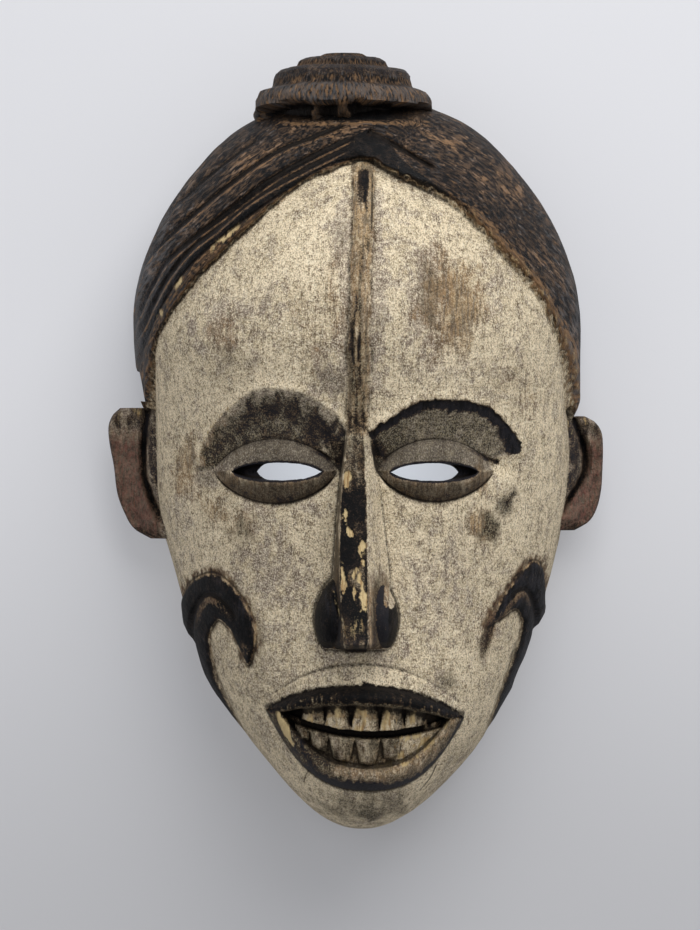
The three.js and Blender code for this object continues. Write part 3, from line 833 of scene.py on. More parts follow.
@dataclass(frozen=True)
class Eye(Form):
    """Eye under a brow: a cove below the brow's edge, and an almond bulge of both lids round the slit."""

    x: float
    y: float
    half: float
    up: float
    down: float
    brow: CarvedLine
    crease: CarvedLine
    slit: Slit
    band: float
    rise: float = 1.1
    socket: float = 5.4
    bulge: float = 5.4

    def almond(self, x: Array, y: Array) -> tuple[Array, Array]:
        """Place in an almond with pointed corners, where 1 is its edge.

        Args:
            x: places across.
            y: places up.

        Returns:
            Share across from -1 to 1, and share up (positive) or down (negative).
        """
        u = np.clip((x - self.x) / self.half, -1.0, 1.0)
        span = np.maximum(1.0 - u * u, 0.0) ** 0.75
        rise = y - self.y
        return u, rise / (np.where(rise > 0.0, self.up, self.down) * span + 0.01)

    def carve(self, front: Front) -> None:
        """Cuts the cove, swells the lids, cuts the crease between them and the slit's blind corner.

        Args:
            front: the front that is carved and painted.
        """
        x, y = front.x, front.y
        calm = 1.0 - ease(0.5, 3.0, front.proud)
        across, high = self.almond(x, y)
        brow = self.brow.near(x, y, 150.0)
        below = -brow.side + 0.2 * front.noise(2.6)
        under = ease(-0.2, 1.7, below) * ease(-14.0, -6.0, y + 2.0)
        reach = ease(1.25, 0.95, np.abs((x - self.x) / (self.half + 6.0)))
        slope = ease(0.0, 15.0, below)
        cove = (-0.3 - (self.socket - 0.3) * slope) * under * reach
        lip = self.rise * bell(brow.gap / 3.6) * (1.0 - under) * reach * ease(0.0, 0.1, brow.along)
        inside = np.maximum(1.0 - high * high, 0.0) ** 0.6 * (1.0 - across**4)
        round_off = ease(1.35, 1.0, np.abs(high)) * ease(1.05, 0.9, np.abs(across))
        form = cove + lip + self.bulge * inside * round_off - 1.6 * round_off * ease(0.1, -0.35, high)
        crease = self.crease.near(x, y, 30.0)
        taper = crease.taper(0.08, 0.92)
        form -= 0.9 * bell(crease.gap / 2.0) * taper
        form -= 0.5 * bell((high + 1.0) / 0.16) * ease(1.0, 0.8, np.abs(across))
        cut = self.slit.inside(x, y)
        form -= 0.4 * ease(-2.2, -0.2, cut) * ease(0.6, -0.1, cut)
        front.add((form - 7.5 * ease(-0.2, 0.7, cut)) * calm)
        self.paint(front, (brow, crease), (across, high), cut, calm)

    def paint(
        self,
        front: Front,
        lines: tuple[Near, Near],
        place: tuple[Array, Array],
        cut: Array,
        calm: Array,
    ) -> None:
        """Paints the brow band or the dark cove, a painted highlight on the left brow's edge, the grey lids,
        the black crease and the slit.

        Args:
            front: the front that is painted.
            lines: how points lie to the brow's edge and to the crease over the upper lid.
            place: share across and share up or down in the almond.
            cut: distance inside the slit.
            calm: 1 beside the nose and 0 on it, where the eye's forms stop.
        """
        x, y = front.x, front.y
        (brow, crease), (across, high) = lines, place
        noise = front.noise((2.0, 4.0, 4.0), 1.0, 0.5)
        below = -brow.side + 0.8 * noise
        reach = brow.taper(0.04, 0.97)
        over = ease(-0.8, 0.8, crease.side) * ease(-16.0, -9.0, y) * reach * calm
        in_cove = ease(-0.6, 1.6, below) * over
        nose_side = ease(26.0, 5.0, np.abs(x))
        if self.band > 0.0:
            band = self.band * (1.0 + 0.5 * ease(0.72, 0.9, brow.along) - 0.35 * ease(0.3, 0.0, brow.along))
            stripe = ease(-0.7, 0.7, below) * ease(band + 1.2, band - 1.2, below + 0.7 * noise) * reach * calm
            front.lay(Coat.BLACK, stripe * 0.95)
            front.lay(Coat.BROWN, bell((below - 0.3) / 1.2) * reach * calm * 0.7)
            front.lay(Coat.GRIME_AND_SHADE, in_cove * (0.7 + 0.16 * noise + 0.3 * nose_side))
            front.lay(Coat.VIOLET_AND_SHEEN, in_cove * 0.6)
            front.lay(Coat.BLACK, in_cove * ease(50.0, 64.0, x) * (0.5 + 0.3 * noise))
        else:
            soft = ease(-1.5, 5.0, below + 1.4 * noise) * over
            # Painted highlight: a pale line along the left brow's edge, laid as bare wood.
            lit = bell((brow.side - 0.3) / 0.9) * ease(0.02, 0.06, brow.along) * ease(0.44, 0.34, brow.along)
            front.lay(Coat.BARE_AND_HIGHLIGHT, lit * 0.45)
            front.clear(Coat.GRIME_AND_SHADE, lit * 0.6)
            far = ease(-44.0, -62.0, x)
            front.lay(Coat.GRIME_AND_SHADE, soft * (0.95 - 0.1 * far + 0.3 * noise))
            front.lay(Coat.VIOLET_AND_SHEEN, in_cove * 0.9)
            front.lay(Coat.BROWN, in_cove * far * 0.8)
            dark = 0.4 + 0.24 * nose_side + 0.3 * noise + 0.16 * bell((below - 7.0) / 7.0) - 0.2 * far
            front.lay(Coat.BLACK, soft * np.clip(dark, 0.0, 0.66))
        lids = ease(1.15, 0.97, np.abs(high)) * ease(1.02, 0.9, np.abs(across)) * calm
        lower = lids * ease(0.15, -0.2, high)
        upper = lids - lower
        front.lay(Coat.VIOLET_AND_SHEEN, np.maximum(upper, lower * 0.8))
        by_slit = ease(-3.0, -0.4, cut)
        outer = ease(-0.2, -0.9, across * math.copysign(1.0, self.x) * -1.0)
        grey = np.maximum(upper * (0.76 + 0.3 * nose_side), lower * (0.86 - 0.3 * by_slit + 0.2 * nose_side))
        front.lay(Coat.GRIME_AND_SHADE, grey * (1.1 - 0.3 * outer) + 0.16 * noise * lids)
        front.lay(Coat.BROWN, lower * 0.7)
        front.lay(Coat.SMOOTH, lids)
        front.shelter(1.2 * lids)
        front.lay(Coat.BLACK, lower * ease(-0.45, -0.8, high) * (0.3 + 0.35 * noise))
        line = bell(crease.gap / 2.2) * crease.taper(0.06, 0.94) * calm
        outer = ease(0.62, 0.85, crease.along) if self.band > 0.0 else ease(0.7, 0.95, crease.along)
        front.lay(Coat.BLACK, line * (0.25 + 0.3 * noise + 0.6 * outer))
        front.lay(Coat.GRIME_AND_SHADE, line * 0.8)
        front.lay(Coat.BLACK, ease(-1.6, 0.0, cut) * calm)
        beside = ease(1.5, 1.05, np.abs(high)) * ease(1.3, 0.9, np.abs(across)) * calm
        front.lay(Coat.GRIME_AND_SHADE, beside * (0.35 + 0.3 * noise))
        corner = bell((np.abs(x) - 8.0) / 8.0) * bell((y + 5.0) / 15.0) * calm
        front.lay(Coat.GRIME_AND_SHADE, corner)
        front.lay(Coat.BLACK, corner * (0.7 + 0.4 * noise) * (0.75 if self.band > 0.0 else 1.0))


@dataclass
class LipLines:
    """Lines of the mouth at each x: u from corner to corner, the middle, the edges of lips and gap."""

    u: Array
    corner: Array
    top: Array
    top_in: Array
    bottom_in: Array
    bottom: Array
    gap_top: Array
    gap_low: Array


@dataclass
class MouthZones:
    """Where the mouth's parts are: all of it, share across each lip from the inside, recess, teeth, worn gum
    on the right, and the dark gap and corners.
    """

    between: Array
    v: Array
    drop: Array
    share: Array
    gum: Array
    throat: Array


@dataclass(frozen=True)
class Mouth(Form):
    """Open mouth: lips on a slight muzzle, a ledge over the upper lip, and two rows of teeth in a recess."""

    x: float = 3.8
    y: float = -112.8
    half: float = 41.5
    tilt: float = -0.041
    upper_out: float = 13.4
    upper_in: float = 6.8
    lower_out: float = 31.0
    lower_in: float = 22.4
    inner: float = 0.86
    lip: float = 7.5
    muzzle: float = 3.5
    muzzle_reach: float = 52.0
    recess: float = 3.6
    throat: float = 5.4
    ledge: float = 1.7
    ledge_wide: float = 8.0
    slit_up: float = 5.4
    slit_down: float = 8.4
    slit_sag: float = 7.0
    teeth: tuple[tuple[float, float, float, float, float], ...] = (
        (-17.6, 5.0, 3.9, 9.0, 0.6), (-7.4, 5.5, 3.2, 11.6, 0.95), (3.9, 5.9, 3.7, 12.6, 1.0),
        (14.8, 5.2, 3.3, 11.6, 0.85), (24.2, 4.5, 3.5, 8.6, 0.55),
        (-22.3, 3.2, 2.2, -8.0, 0.35), (-15.2, 4.0, 2.9, -7.6, 0.4), (-6.0, 5.4, 3.0, -10.4, 0.7),
        (4.7, 5.2, 2.9, -11.2, 0.7), (14.4, 3.9, 2.7, -8.6, 0.6),
    )

    def edges(self, x: Array) -> LipLines:
        """Edges of the lips at x: a middle line that tilts, and bows 1 - |u|^n over and under it.

        Args:
            x: places across.

        Returns:
            The lines.
        """
        u = (x - self.x) / self.half
        corner = self.y + self.tilt * (x - self.x)

        def bow(height: float, power: float, reach: float) -> Array:
            """Height of one bow at x."""
            return height * np.maximum(1.0 - np.abs(u / reach) ** power, 0.0)

        sag = self.slit_sag * u**2
        return LipLines(
            u=u,
            corner=corner,
            top=corner + bow(self.upper_out, 2.2, 1.0),
            top_in=corner + bow(self.upper_in, 2.2, self.inner),
            bottom_in=corner - bow(self.lower_in, 2.6, self.inner),
            bottom=corner - bow(self.lower_out, 2.8, 1.0),
            gap_top=corner - self.slit_up + sag,
            gap_low=corner - self.slit_down + sag,
        )

    def tooth_rows(self, x: Array, y: Array, edges: LipLines, rough: Array) -> tuple[Array, Array]:
        """Uneven teeth: each starts at the gap between the rows with its full width and narrows away from
        it. A tooth is keeled along its middle, rounded at its shoulders, and as bold as given. Its paint is
        thinner on its right facet and along its keel: painted shade of the faces turned from the light.

        Args:
            x: places across.
            y: places up.
            edges: edges of the lips.
            rough: noise that makes them uneven.

        Returns:
            Height over the floor of the recess, and share of tooth paint, low where the facets carry painted
            shade.
        """
        height = np.zeros_like(x)
        share = np.zeros_like(x)
        for at, wide, narrow, tall, bold in self.teeth:
            upper = tall > 0.0
            away = (y - edges.gap_top) if upper else (edges.gap_low - y)
            down = away / abs(tall)
            half = wide + (narrow - wide) * np.clip(down, 0.0, 1.0)
            across = np.abs(x - at + 0.25 * rough) / half
            body = ease(1.12, 0.94, across) * ease(-0.5, 0.7, away + 0.3 * rough) * ease(1.15, 0.85, down)
            crown = 1.0 - 0.55 * across - 0.25 * np.clip(down, 0.0, 1.0) + 0.07 * rough
            height = np.maximum(height, (3.6 + 4.0 * bold) * body * crown)
            keel = bell((x - at - 0.6) / 1.1) * bell((down - 0.2) / 0.6)
            # Painted shade: less paint on the right half of each tooth and along its keel.
            facet = 0.55 * ease(0.0, 0.5, (x - at) / half) + 0.5 * keel
            paint = 1.0 - 0.5 * across**6 - facet + 0.25 * rough
            share = np.maximum(share, body * (0.45 + 0.55 * bold) * paint)
        return height, share

    def carve(self, front: Front) -> None:
        """Raises the muzzle, ledge and lips, cuts the recess and stands the teeth in it.

        Args:
            front: the front that is carved and painted.
        """
        x, y = front.x, front.y
        rough = front.noise((1.6, 3.0, 3.0), 0.9, 0.6)
        edges = self.edges(x)
        spread = np.hypot(x - self.x, (y - self.y + 8.0) * 1.1) / self.muzzle_reach
        front.add(self.muzzle * bell(spread))
        over = y - edges.top
        wide = self.ledge_wide * np.maximum(1.0 - 0.55 * edges.u ** 2, 0.0)
        within = ease(1.02, 0.9, np.abs(edges.u))
        on_ledge = ease(wide + 0.8, wide - 0.8, over) * ease(-0.8, 0.4, over) * within
        front.add(self.ledge * on_ledge * (1.0 - 0.45 * np.clip(over / 7.0, 0.0, 1.0)))
        line = bell((over - wide - 0.9 + 0.5 * rough) / 1.7) * ease(0.8, 0.3, np.abs(edges.u + 0.05))
        front.add(-0.4 * line)
        front.lay(Coat.GRIME_AND_SHADE, line * (0.3 + 0.5 * rough))
        front.lay(Coat.GRIME_AND_SHADE, on_ledge * ease(-0.45, -0.85, edges.u) * 0.3)
        between = (np.abs(edges.u) <= 1.0) & (over <= 0.0) & (y >= edges.bottom)
        full = self.lip * (1.0 - 0.55 * edges.u ** 4)
        up = (y - edges.top_in) / (edges.top - edges.top_in + 0.01)
        down = (edges.bottom_in - y) / (edges.bottom_in - edges.bottom + 0.01)
        v = np.where(y > edges.corner, up, down)
        lips = full * np.maximum(np.sin(np.pi * np.clip(0.25 + 0.75 * v, 0.0, 1.0)), 0.0) ** 0.8
        edge_high = full * math.sin(math.pi * 0.25) ** 0.8
        inward = np.minimum(edges.top_in - y, y - edges.bottom_in)
        drop = ease(0.0, 2.4, inward)
        height, share = self.tooth_rows(x, y, edges, rough)
        gap = ease(edges.gap_low - 0.5, edges.gap_low + 0.4, y)
        gap = gap * ease(-27.0, -20.0, x) * ease(31.0, 25.0, x)
        gap = gap * ease(edges.gap_top + 0.5, edges.gap_top - 0.4, y)
        corner = ease(0.5, 0.72, np.abs(edges.u)) * (y > edges.gap_top) + ease(-0.45, -0.7, edges.u)
        throat = np.clip(np.maximum(gap, 0.6 * corner * (1.0 - share)), 0.0, 1.0)
        mouth = edge_high * (1.0 - drop) + drop * (height - self.recess - self.throat * throat)
        gum = ease(10.0, 20.0, x) * (y < edges.gap_low) * drop * (1.0 - share)
        front.add(np.where(between, np.where(v > 0.0, lips + 0.25 * rough, mouth + 2.6 * gum), 0.0))
        front.shelter(between * 1.0)
        zones = MouthZones(between, v, drop, share, gum, throat)
        self.paint_lips(front, edges, zones, rough)
        self.paint_inside(front, edges, zones, rough)

    def paint_lips(self, front: Front, edges: LipLines, zones: MouthZones, rough: Array) -> None:
        """Paints the black upper lip and the black line along the lower one, which is worn brown inside.

        Args:
            front: the front that is painted.
            edges: lines of the mouth.
            zones: where its parts are.
            rough: noise that breaks up the paint.
        """
        between, v = zones.between, zones.v
        x, y, u = front.x, front.y, edges.u
        upper = between & (y > edges.corner)
        lower = between & ~upper
        hatch = front.noise((1.0, 3.6, 3.0))
        fray = 1.0 - (0.28 + 0.4 * ease(-0.1, -0.6, u) + 0.2 * ease(0.2, 0.6, u)) * ease(-0.2, 0.5, hatch)
        front.lay(Coat.BLACK, upper * ease(-0.12, 0.12, v + 0.16 * rough) * fray)
        over = y - edges.top
        spill = ease(1.0, -0.4, over + 1.2 * rough - 0.3) * (over > -2.0)
        front.lay(Coat.BLACK, spill * ease(1.0, 0.9, np.abs(u)))
        front.lay(Coat.BROWN, upper * 0.9)
        front.lay(Coat.GRIME_AND_SHADE, upper * (v > -0.7) * (0.84 + 0.2 * rough))
        front.lay(Coat.BLACK, upper * ease(-0.6, -0.3, v) * (0.3 + 0.3 * rough))
        front.lay(Coat.GRIME_AND_SHADE, lower * (v > -0.15) * ease(-0.1, -0.7, u) * (0.5 + 0.4 * rough))
        rim = (y - edges.bottom) / 3.3 + 0.25 * rough + 0.35 * hatch
        thick = 0.5 * bell((u + 0.1) / 0.55) - 1.0 * ease(-0.5, -0.8, u) - 0.35 * ease(0.35, 0.75, u)
        front.lay(Coat.BLACK, lower * ease(1.6 + thick, 0.4 + thick, rim))
        smear = lower * ease(2.8 + thick, 0.9, rim) * ease(-0.8, -0.3, u)
        front.lay(Coat.GRIME_AND_SHADE, smear * (0.6 + 0.4 * rough))
        front.lay(Coat.VIOLET_AND_SHEEN, smear * 0.6)
        front.lay(Coat.BLACK, smear * (0.3 + 0.3 * rough))
        inner = lower * (v > -0.2)
        front.lay(Coat.VIOLET_AND_SHEEN, inner * 0.8)
        left = ease(-2.0, -20.0, x)
        front.lay(Coat.GRIME_AND_SHADE, inner * (0.36 + 0.3 * rough + 0.6 * left))
        front.lay(Coat.BLACK, inner * left * (0.5 + 0.4 * rough))
        front.lay(Coat.BROWN, inner * 0.75)
        front.lay(Coat.BARE_AND_HIGHLIGHT, inner * ease(8.0, 20.0, x) * ease(0.2, -0.1, v) * ease(-0.4, 0.5, rough) * 0.7)

    def paint_inside(self, front: Front, edges: LipLines, zones: MouthZones, rough: Array) -> None:
        """Paints the dark throat, the sooty floor, the worn teeth and gums, painted light and shade on the
        teeth's facets, and chips the lip.

        Args:
            front: the front that is painted.
            edges: lines of the mouth.
            zones: where its parts are.
            rough: noise that breaks up the paint.
        """
        x, y, share, gum = front.x, front.y, zones.share, zones.gum
        upper = zones.between & (y > edges.corner)
        inside = zones.between * zones.drop
        floor = inside * (1.0 - share)
        valley = 0.5 * rough + 0.62 * (y > edges.gap_low) - 0.1
        valley = (1.0 - share) * (1.0 - gum) * np.clip(valley, 0.0, 0.9)
        front.lay(Coat.BLACK, inside * np.maximum(zones.throat, valley))
        front.lay(Coat.BROWN, floor * (0.8 - 0.4 * gum))
        low = ease(-6.0, -12.0, y - edges.gap_low) * ease(-22.0, -8.0, x)
        front.lay(Coat.GRIME_AND_SHADE, floor * (0.55 + 0.35 * rough + 0.2 * upper - 0.4 * np.maximum(gum, 0.8 * low)))
        row = 0.62 * (y > edges.gap_low) + 0.2 * (y <= edges.gap_low)
        # Painted shade: grime and black on the teeth's facets that have less paint.
        front.lay(Coat.GRIME_AND_SHADE, inside * ease(0.0, 0.2, share) * (0.8 - (row + 0.24) * share + 0.4 * rough))
        facet = ease(0.05, 0.25, share) * ease(0.62, 0.3, share)
        front.lay(Coat.BLACK, inside * facet * (0.36 + 0.3 * rough))
        front.lay(Coat.SMOOTH, inside * share * 0.6)
        front.lay(Coat.BROWN, inside * share * (0.5 + 0.4 * rough))
        front.lay(Coat.VIOLET_AND_SHEEN, inside * share * 0.6)
        # Painted highlight: pale wood on the lit facets of the upper teeth.
        front.lay(Coat.BARE_AND_HIGHLIGHT, inside * (y > edges.gap_low) * ease(0.4, 0.9, share) * (0.44 + 0.3 * rough))
        under = ease(-8.0, -11.0, y - edges.gap_low) * ease(-16.0, -4.0, x)
        front.lay(Coat.BARE_AND_HIGHLIGHT, floor * np.maximum(0.6 * under, 0.8 * gum) * ease(-0.5, 0.4, rough))
        chip = 1.0 - np.hypot((x + 29.6 + 0.4 * (y + 118.0)) / 2.4, (y + 118.0) / 7.0) + 0.35 * rough
        chip = ease(0.0, 0.4, chip) * zones.between
        front.clear(Coat.BLACK, chip * 0.9)
        front.lay(Coat.BARE_AND_HIGHLIGHT, chip)


@dataclass(frozen=True)
class CheekScar(Form):
    """Raised scar on a cheek: a black arch in two ribs over a pale tongue, with a long limb down the jaw.

    Its crease runs with the inner rib on its left hand.
    """

    outline: CarvedLine
    crease: CarvedLine
    # Place along the crease of the brown at the top of the arch, which is wear and also a painted highlight.
    rubbed: float
    worn: Size = (-47.0, -86.0, 5.0)
    # Strength of the painted sheen on the black.
    sheen: float = 0.35
    rise: float = 3.3
    lowest: float = 17.0

    def above(self, z: Array) -> Array:
        """Share of the paint by height: the limb's paint ends a little above the rim."""
        return ease(self.lowest - 7.0, self.lowest - 3.0, z)

    def carve(self, front: Front) -> None:
        """Raises the arch by its distance inside the outline and cuts the crease that parts its two ribs.

        Args:
            front: the front that is carved and painted.
        """
        x, y = front.x, front.y
        inside = self.outline.depth_inside(x, y)
        low = ease(self.lowest - 4.0, self.lowest + 4.0, front.z)
        crease = self.crease.near(x, y, 14.0)
        taper = crease.taper(0.08, 0.75)
        groove = taper * (2.4 * bell(crease.gap / 1.7) + 1.0 * bell(crease.gap / 4.0))
        inner_step = 0.7 * ease(0.0, 1.5, crease.side) * bell(crease.gap / 13.0) * taper
        form = self.rise * ease(-0.7, 1.4, inside) * (0.72 + 0.28 * ease(0.0, 3.6, inside))
        thin = 0.15 + 0.85 * ease(-124.0, -92.0, y)
        front.add((form * thin - (groove + inner_step) * ease(0.0, 1.0, inside)) * low)
        front.add(-0.4 * ease(-3.4, -0.8, inside) * ease(0.4, -0.6, inside) * low)
        noise = front.noise((1.8, 2.6, 2.6), 0.9, 0.6)
        self.paint(front, inside, crease, noise)
        self.wear_and_highlight(front, inside, crease, noise)

    def paint(self, front: Front, inside: Array, crease: Near, noise: Array) -> None:
        """Black on both ribs with a bluish painted sheen in places, and a brown and sooty border that frays
        outwards.

        Args:
            front: the front that is painted.
            inside: distance inside the outline.
            crease: how points lie to the crease.
            noise: noise that breaks up the paint.
        """
        y, z = front.y, front.z
        low = self.above(z + 2.0 * noise)
        outer = ease(1.0, -1.5, crease.side) * ease(-96.0, -84.0, y)
        around = ease(-2.6 - 1.6 * outer, -0.8, inside + 0.8 * noise) * ease(2.4, 0.8, inside)
        worn_low = 0.34 * ease(self.lowest + 16.0, self.lowest, z) * ease(0.0, 0.6, noise)
        covered = ease(-0.8, 0.8 + 0.6 * outer, inside + (0.3 + 0.6 * outer) * noise)
        front.lay(Coat.BLACK, covered * low * (1.0 - worn_low))
        front.lay(Coat.BLACK, (0.3 + 0.3 * noise) * ease(-3.0, -0.6, inside + 0.8 * noise) * outer * low)
        front.lay(Coat.BROWN, around * low * (0.4 + 0.6 * outer) * ease(-0.6, 0.1, noise))
        rim = ease(-1.5, -0.5, inside) * ease(2.4, 1.2, inside) * low
        front.lay(Coat.BROWN, rim * (0.66 + 0.3 * outer))
        front.lay(Coat.GRIME_AND_SHADE, rim * (0.5 + 0.3 * noise))
        front.lay(Coat.RED, 0.5 * around * low * outer * ease(-0.4, 0.4, noise))
        front.lay(Coat.GRIME_AND_SHADE, around * low * (0.6 + 0.4 * noise))
        front.lay(Coat.SMOOTH, around * low)
        # Painted sheen: bluish grey on the black, stronger low on the scar.
        blue = ease(-0.2, 1.6, inside) * (0.6 + 0.6 * noise) * (1.0 + 0.6 * ease(-76.0, -96.0, y))
        front.lay(Coat.VIOLET_AND_SHEEN, blue * self.sheen * low)
        front.shelter(ease(-3.0, -1.0, inside) * low)

    def wear_and_highlight(self, front: Front, inside: Array, crease: Near, noise: Array) -> None:
        """Wears the black down to brown wood on the rim and in one round patch, and along the top of the
        inner rib's arch, where the brown is also a painted highlight.

        Args:
            front: the front that is painted.
            inside: distance inside the outline.
            crease: how points lie to the crease.
            noise: noise that breaks up the wear.
        """
        x, y = front.x, front.y
        low = self.above(front.z + 2.0 * noise)
        arch = bell((crease.along - self.rubbed) / 0.4) ** 0.6
        wear_and_highlight = bell((crease.side - 2.3) / 2.3) * arch * ease(-1.1, -0.1, noise + 0.3) * low
        wear_and_highlight = np.maximum(wear_and_highlight, 0.36 * bell((inside - 0.8) / 1.2) * ease(0.2, 0.7, noise) * low)
        x0, y0, half = self.worn
        patch = bell(np.hypot(x - x0, y - y0) / half) * ease(-0.5, 0.5, noise)
        wear_and_highlight = np.maximum(wear_and_highlight, patch * ease(-1.6, 0.0, inside))
        front.clear(Coat.BLACK, wear_and_highlight * 0.8)
        front.lay(Coat.BROWN, np.minimum(1.8 * wear_and_highlight, 1.0))
        front.lay(Coat.RED, wear_and_highlight * 0.5)
        front.lay(Coat.GRIME_AND_SHADE, wear_and_highlight * (0.75 + 0.3 * noise))


@dataclass(frozen=True)
class Stain:
    """A soft patch of stain: middle, half sizes and strength."""

    coat: Coat
    x: float
    y: float
    wide: float
    tall: float
    share: float
    lean: float = 0.0

    def lay(self, front: Front, noise: Array, where: Array) -> None:
        """Lays the patch, an ellipse that leans with height and whose edge is broken by noise."""
        across = (front.x - self.x - self.lean * (front.y - self.y)) / self.wide
        up = (front.y - self.y) / self.tall
        shape = ease(0.0, 0.8, 1.0 - np.hypot(across, up) + 0.34 * noise)
        front.lay(self.coat, shape * self.share * where)


@dataclass(frozen=True)
class FacePaint(Form):
    """Wear and stains of the pale face: where the white has rubbed down to grey or brown wood; and painted
    shade on the chin and the steep sides.

    Each stain is a row of its middle, its half sizes, its strength and, in some, how far it leans.
    """

    stains: tuple[tuple[Coat, tuple[tuple[float, ...], ...]], ...] = (
        (Coat.VIOLET_AND_SHEEN, (
            (-54, 52, 15, 19, 0.8, -0.2), (-38, 56, 10, 11, 0.75), (-10, 28, 14, 20, 0.75),
            (-7, 86, 8, 22, 0.9), (-66, 42, 6, 13, 0.7, -0.4), (-70, 14, 8, 14, 0.3), (30, 56, 17, 32, 1.0),
            (56, 60, 7, 16, 0.6), (64, 40, 6, 11, 0.4), (18, 90, 8, 8, 0.5), (10, 66, 4.6, 28, 0.85),
            (6, 44, 12, 18, 0.6), (40, 28, 22, 9, 0.5), (97, -8, 5.5, 22, 1.0), (-92, -4, 5, 26, 1.0),
            (-61, -13, 12, 10, 0.9), (-43, -22, 12, 11, 0.65), (-54, -6, 8, 10, 0.8),
            (-34, -56, 26, 40, 0.62), (34, -60, 26, 40, 0.5), (-74, -30, 10, 40, 0.5),
            (-18, -26, 12, 6, 0.6), (38, -42, 8, 11, 0.55), (36, -104, 13, 14, 0.4),
        )),
        (Coat.BROWN, (
            (-53, 45, 14, 11, 0.6), (-23, 56, 6, 12, 0.55), (-16, 40, 12, 22, 0.4), (-8, 58, 7, 28, 0.6),
            (39, 56, 21, 32, 1.0), (72, 20, 8, 13, 0.5), (60, 26, 10, 10, 0.35), (-72, -8, 9, 20, 0.8, 0.1),
            (-60, -26, 13, 12, 0.75, -0.5), (-48, -34, 12, 10, 0.6), (52, -34, 8, 14, 0.95),
            (52, -14, 4, 12, 0.8), (55, -79, 4.6, 15, 1.0, 0.15),
        )),
        (Coat.GRIME_AND_SHADE, (
            (-50, 34, 14, 9, 0.4), (-37, 55, 7, 7, 0.35), (-12, 26, 14, 13, 0.45), (-7, 84, 5, 18, 0.4),
            (30, 58, 9, 24, 0.46, -0.1), (42, 54, 12, 22, 0.34), (10, 50, 4, 18, 0.35),
            (98, -8, 5, 20, 0.75), (-92, -4, 4.5, 24, 0.5), (-61, -14, 10, 8, 0.5), (-70, -6, 6, 12, 0.3),
            (-47, -36, 8, 9, 0.6), (-36, -50, 28, 36, 0.26), (38, -60, 28, 44, 0.24),
            (44, -132, 16, 14, 0.3), (63, -26, 8, 8, 0.9), (56, -34, 6, 11, 0.8),
            (54, -82, 4, 13, 0.95, 0.15), (46, -82, 4, 5, 0.6), (37, -99, 9, 6, 0.6),
            # The wide patch at (4, -152) is painted shade on the chin, which turns down from the light.
            (-40, -84, 5, 16, 0.4), (5, -156, 7, 6, 0.9), (4, -152, 36, 13, 0.6),
        )),
        (Coat.BLACK, (
            (64, -25, 5.4, 4.6, 0.7), (55.4, -80, 3.4, 13, 0.58, 0.3),
        )),
        (Coat.RED, (
            (55.4, -78, 3.4, 12, 0.35, 0.3),
        )),
    )

    def carve(self, front: Front) -> None:
        """Lays the stains beside the hair, painted shade on the steep sides near the rim, and a light
        roughness of tool marks under the paint.

        Args:
            front: the front that is painted.
        """
        noise = front.noise((3.0, 6.5, 6.0), (1.4, 2.6, 2.6), 0.7)
        bald = 1.0 - front.coats[Coat.HAIR]
        for coat, patches in self.stains:
            for patch in patches:
                Stain(coat, *patch).lay(front, noise, bald)
        marks = 0.30 * front.noise((13.0, 17.0, 17.0)) + 0.16 * front.noise((4.0, 7.0, 5.0))
        front.add(marks * ease(0.0, 12.0, front.z))
        # Painted shade: the steep sides near the rim are darkened where they turn from the light.
        side = ease(0.9, 0.99, front.fraction) * ease(70.0, 10.0, front.z)
        front.lay(Coat.GRIME_AND_SHADE, side * 0.45)


@dataclass(frozen=True)
class Crack(Form):
    """A hairline drying crack in the wood."""

    line: CarvedLine
    depth: float
    half: float

    def carve(self, front: Front) -> None:
        """Cuts a narrow bell along the line, fading at both ends, and darkens it."""
        near = self.line.near(front.x, front.y, 6.0)
        cut = bell(near.gap / self.half) * near.taper(0.15, 0.85)
        front.add(-self.depth * cut)
        front.lay(Coat.GRIME_AND_SHADE, cut * 0.9)


def box_blur(field_values: Array, reach: int) -> Array:
    """Mean of each grid value over a square window, by running sums along rows and then columns.

    Args:
        field_values: values on a grid.
        reach: cells on each side of the middle.

    Returns:
        The blurred grid.
    """
    blurred = field_values.astype(np.float64)
    for axis in (0, 1):
        pad = [(0, 0), (0, 0)]
        pad[axis] = (reach + 1, reach)
        total = np.cumsum(np.pad(blurred, pad, mode="edge"), axis=axis)
        width = 2 * reach + 1
        upper = np.take(total, np.arange(width, total.shape[axis]), axis=axis)
        lower = np.take(total, np.arange(0, total.shape[axis] - width), axis=axis)
        blurred = (upper - lower) / width
    return blurred.astype(np.float32)


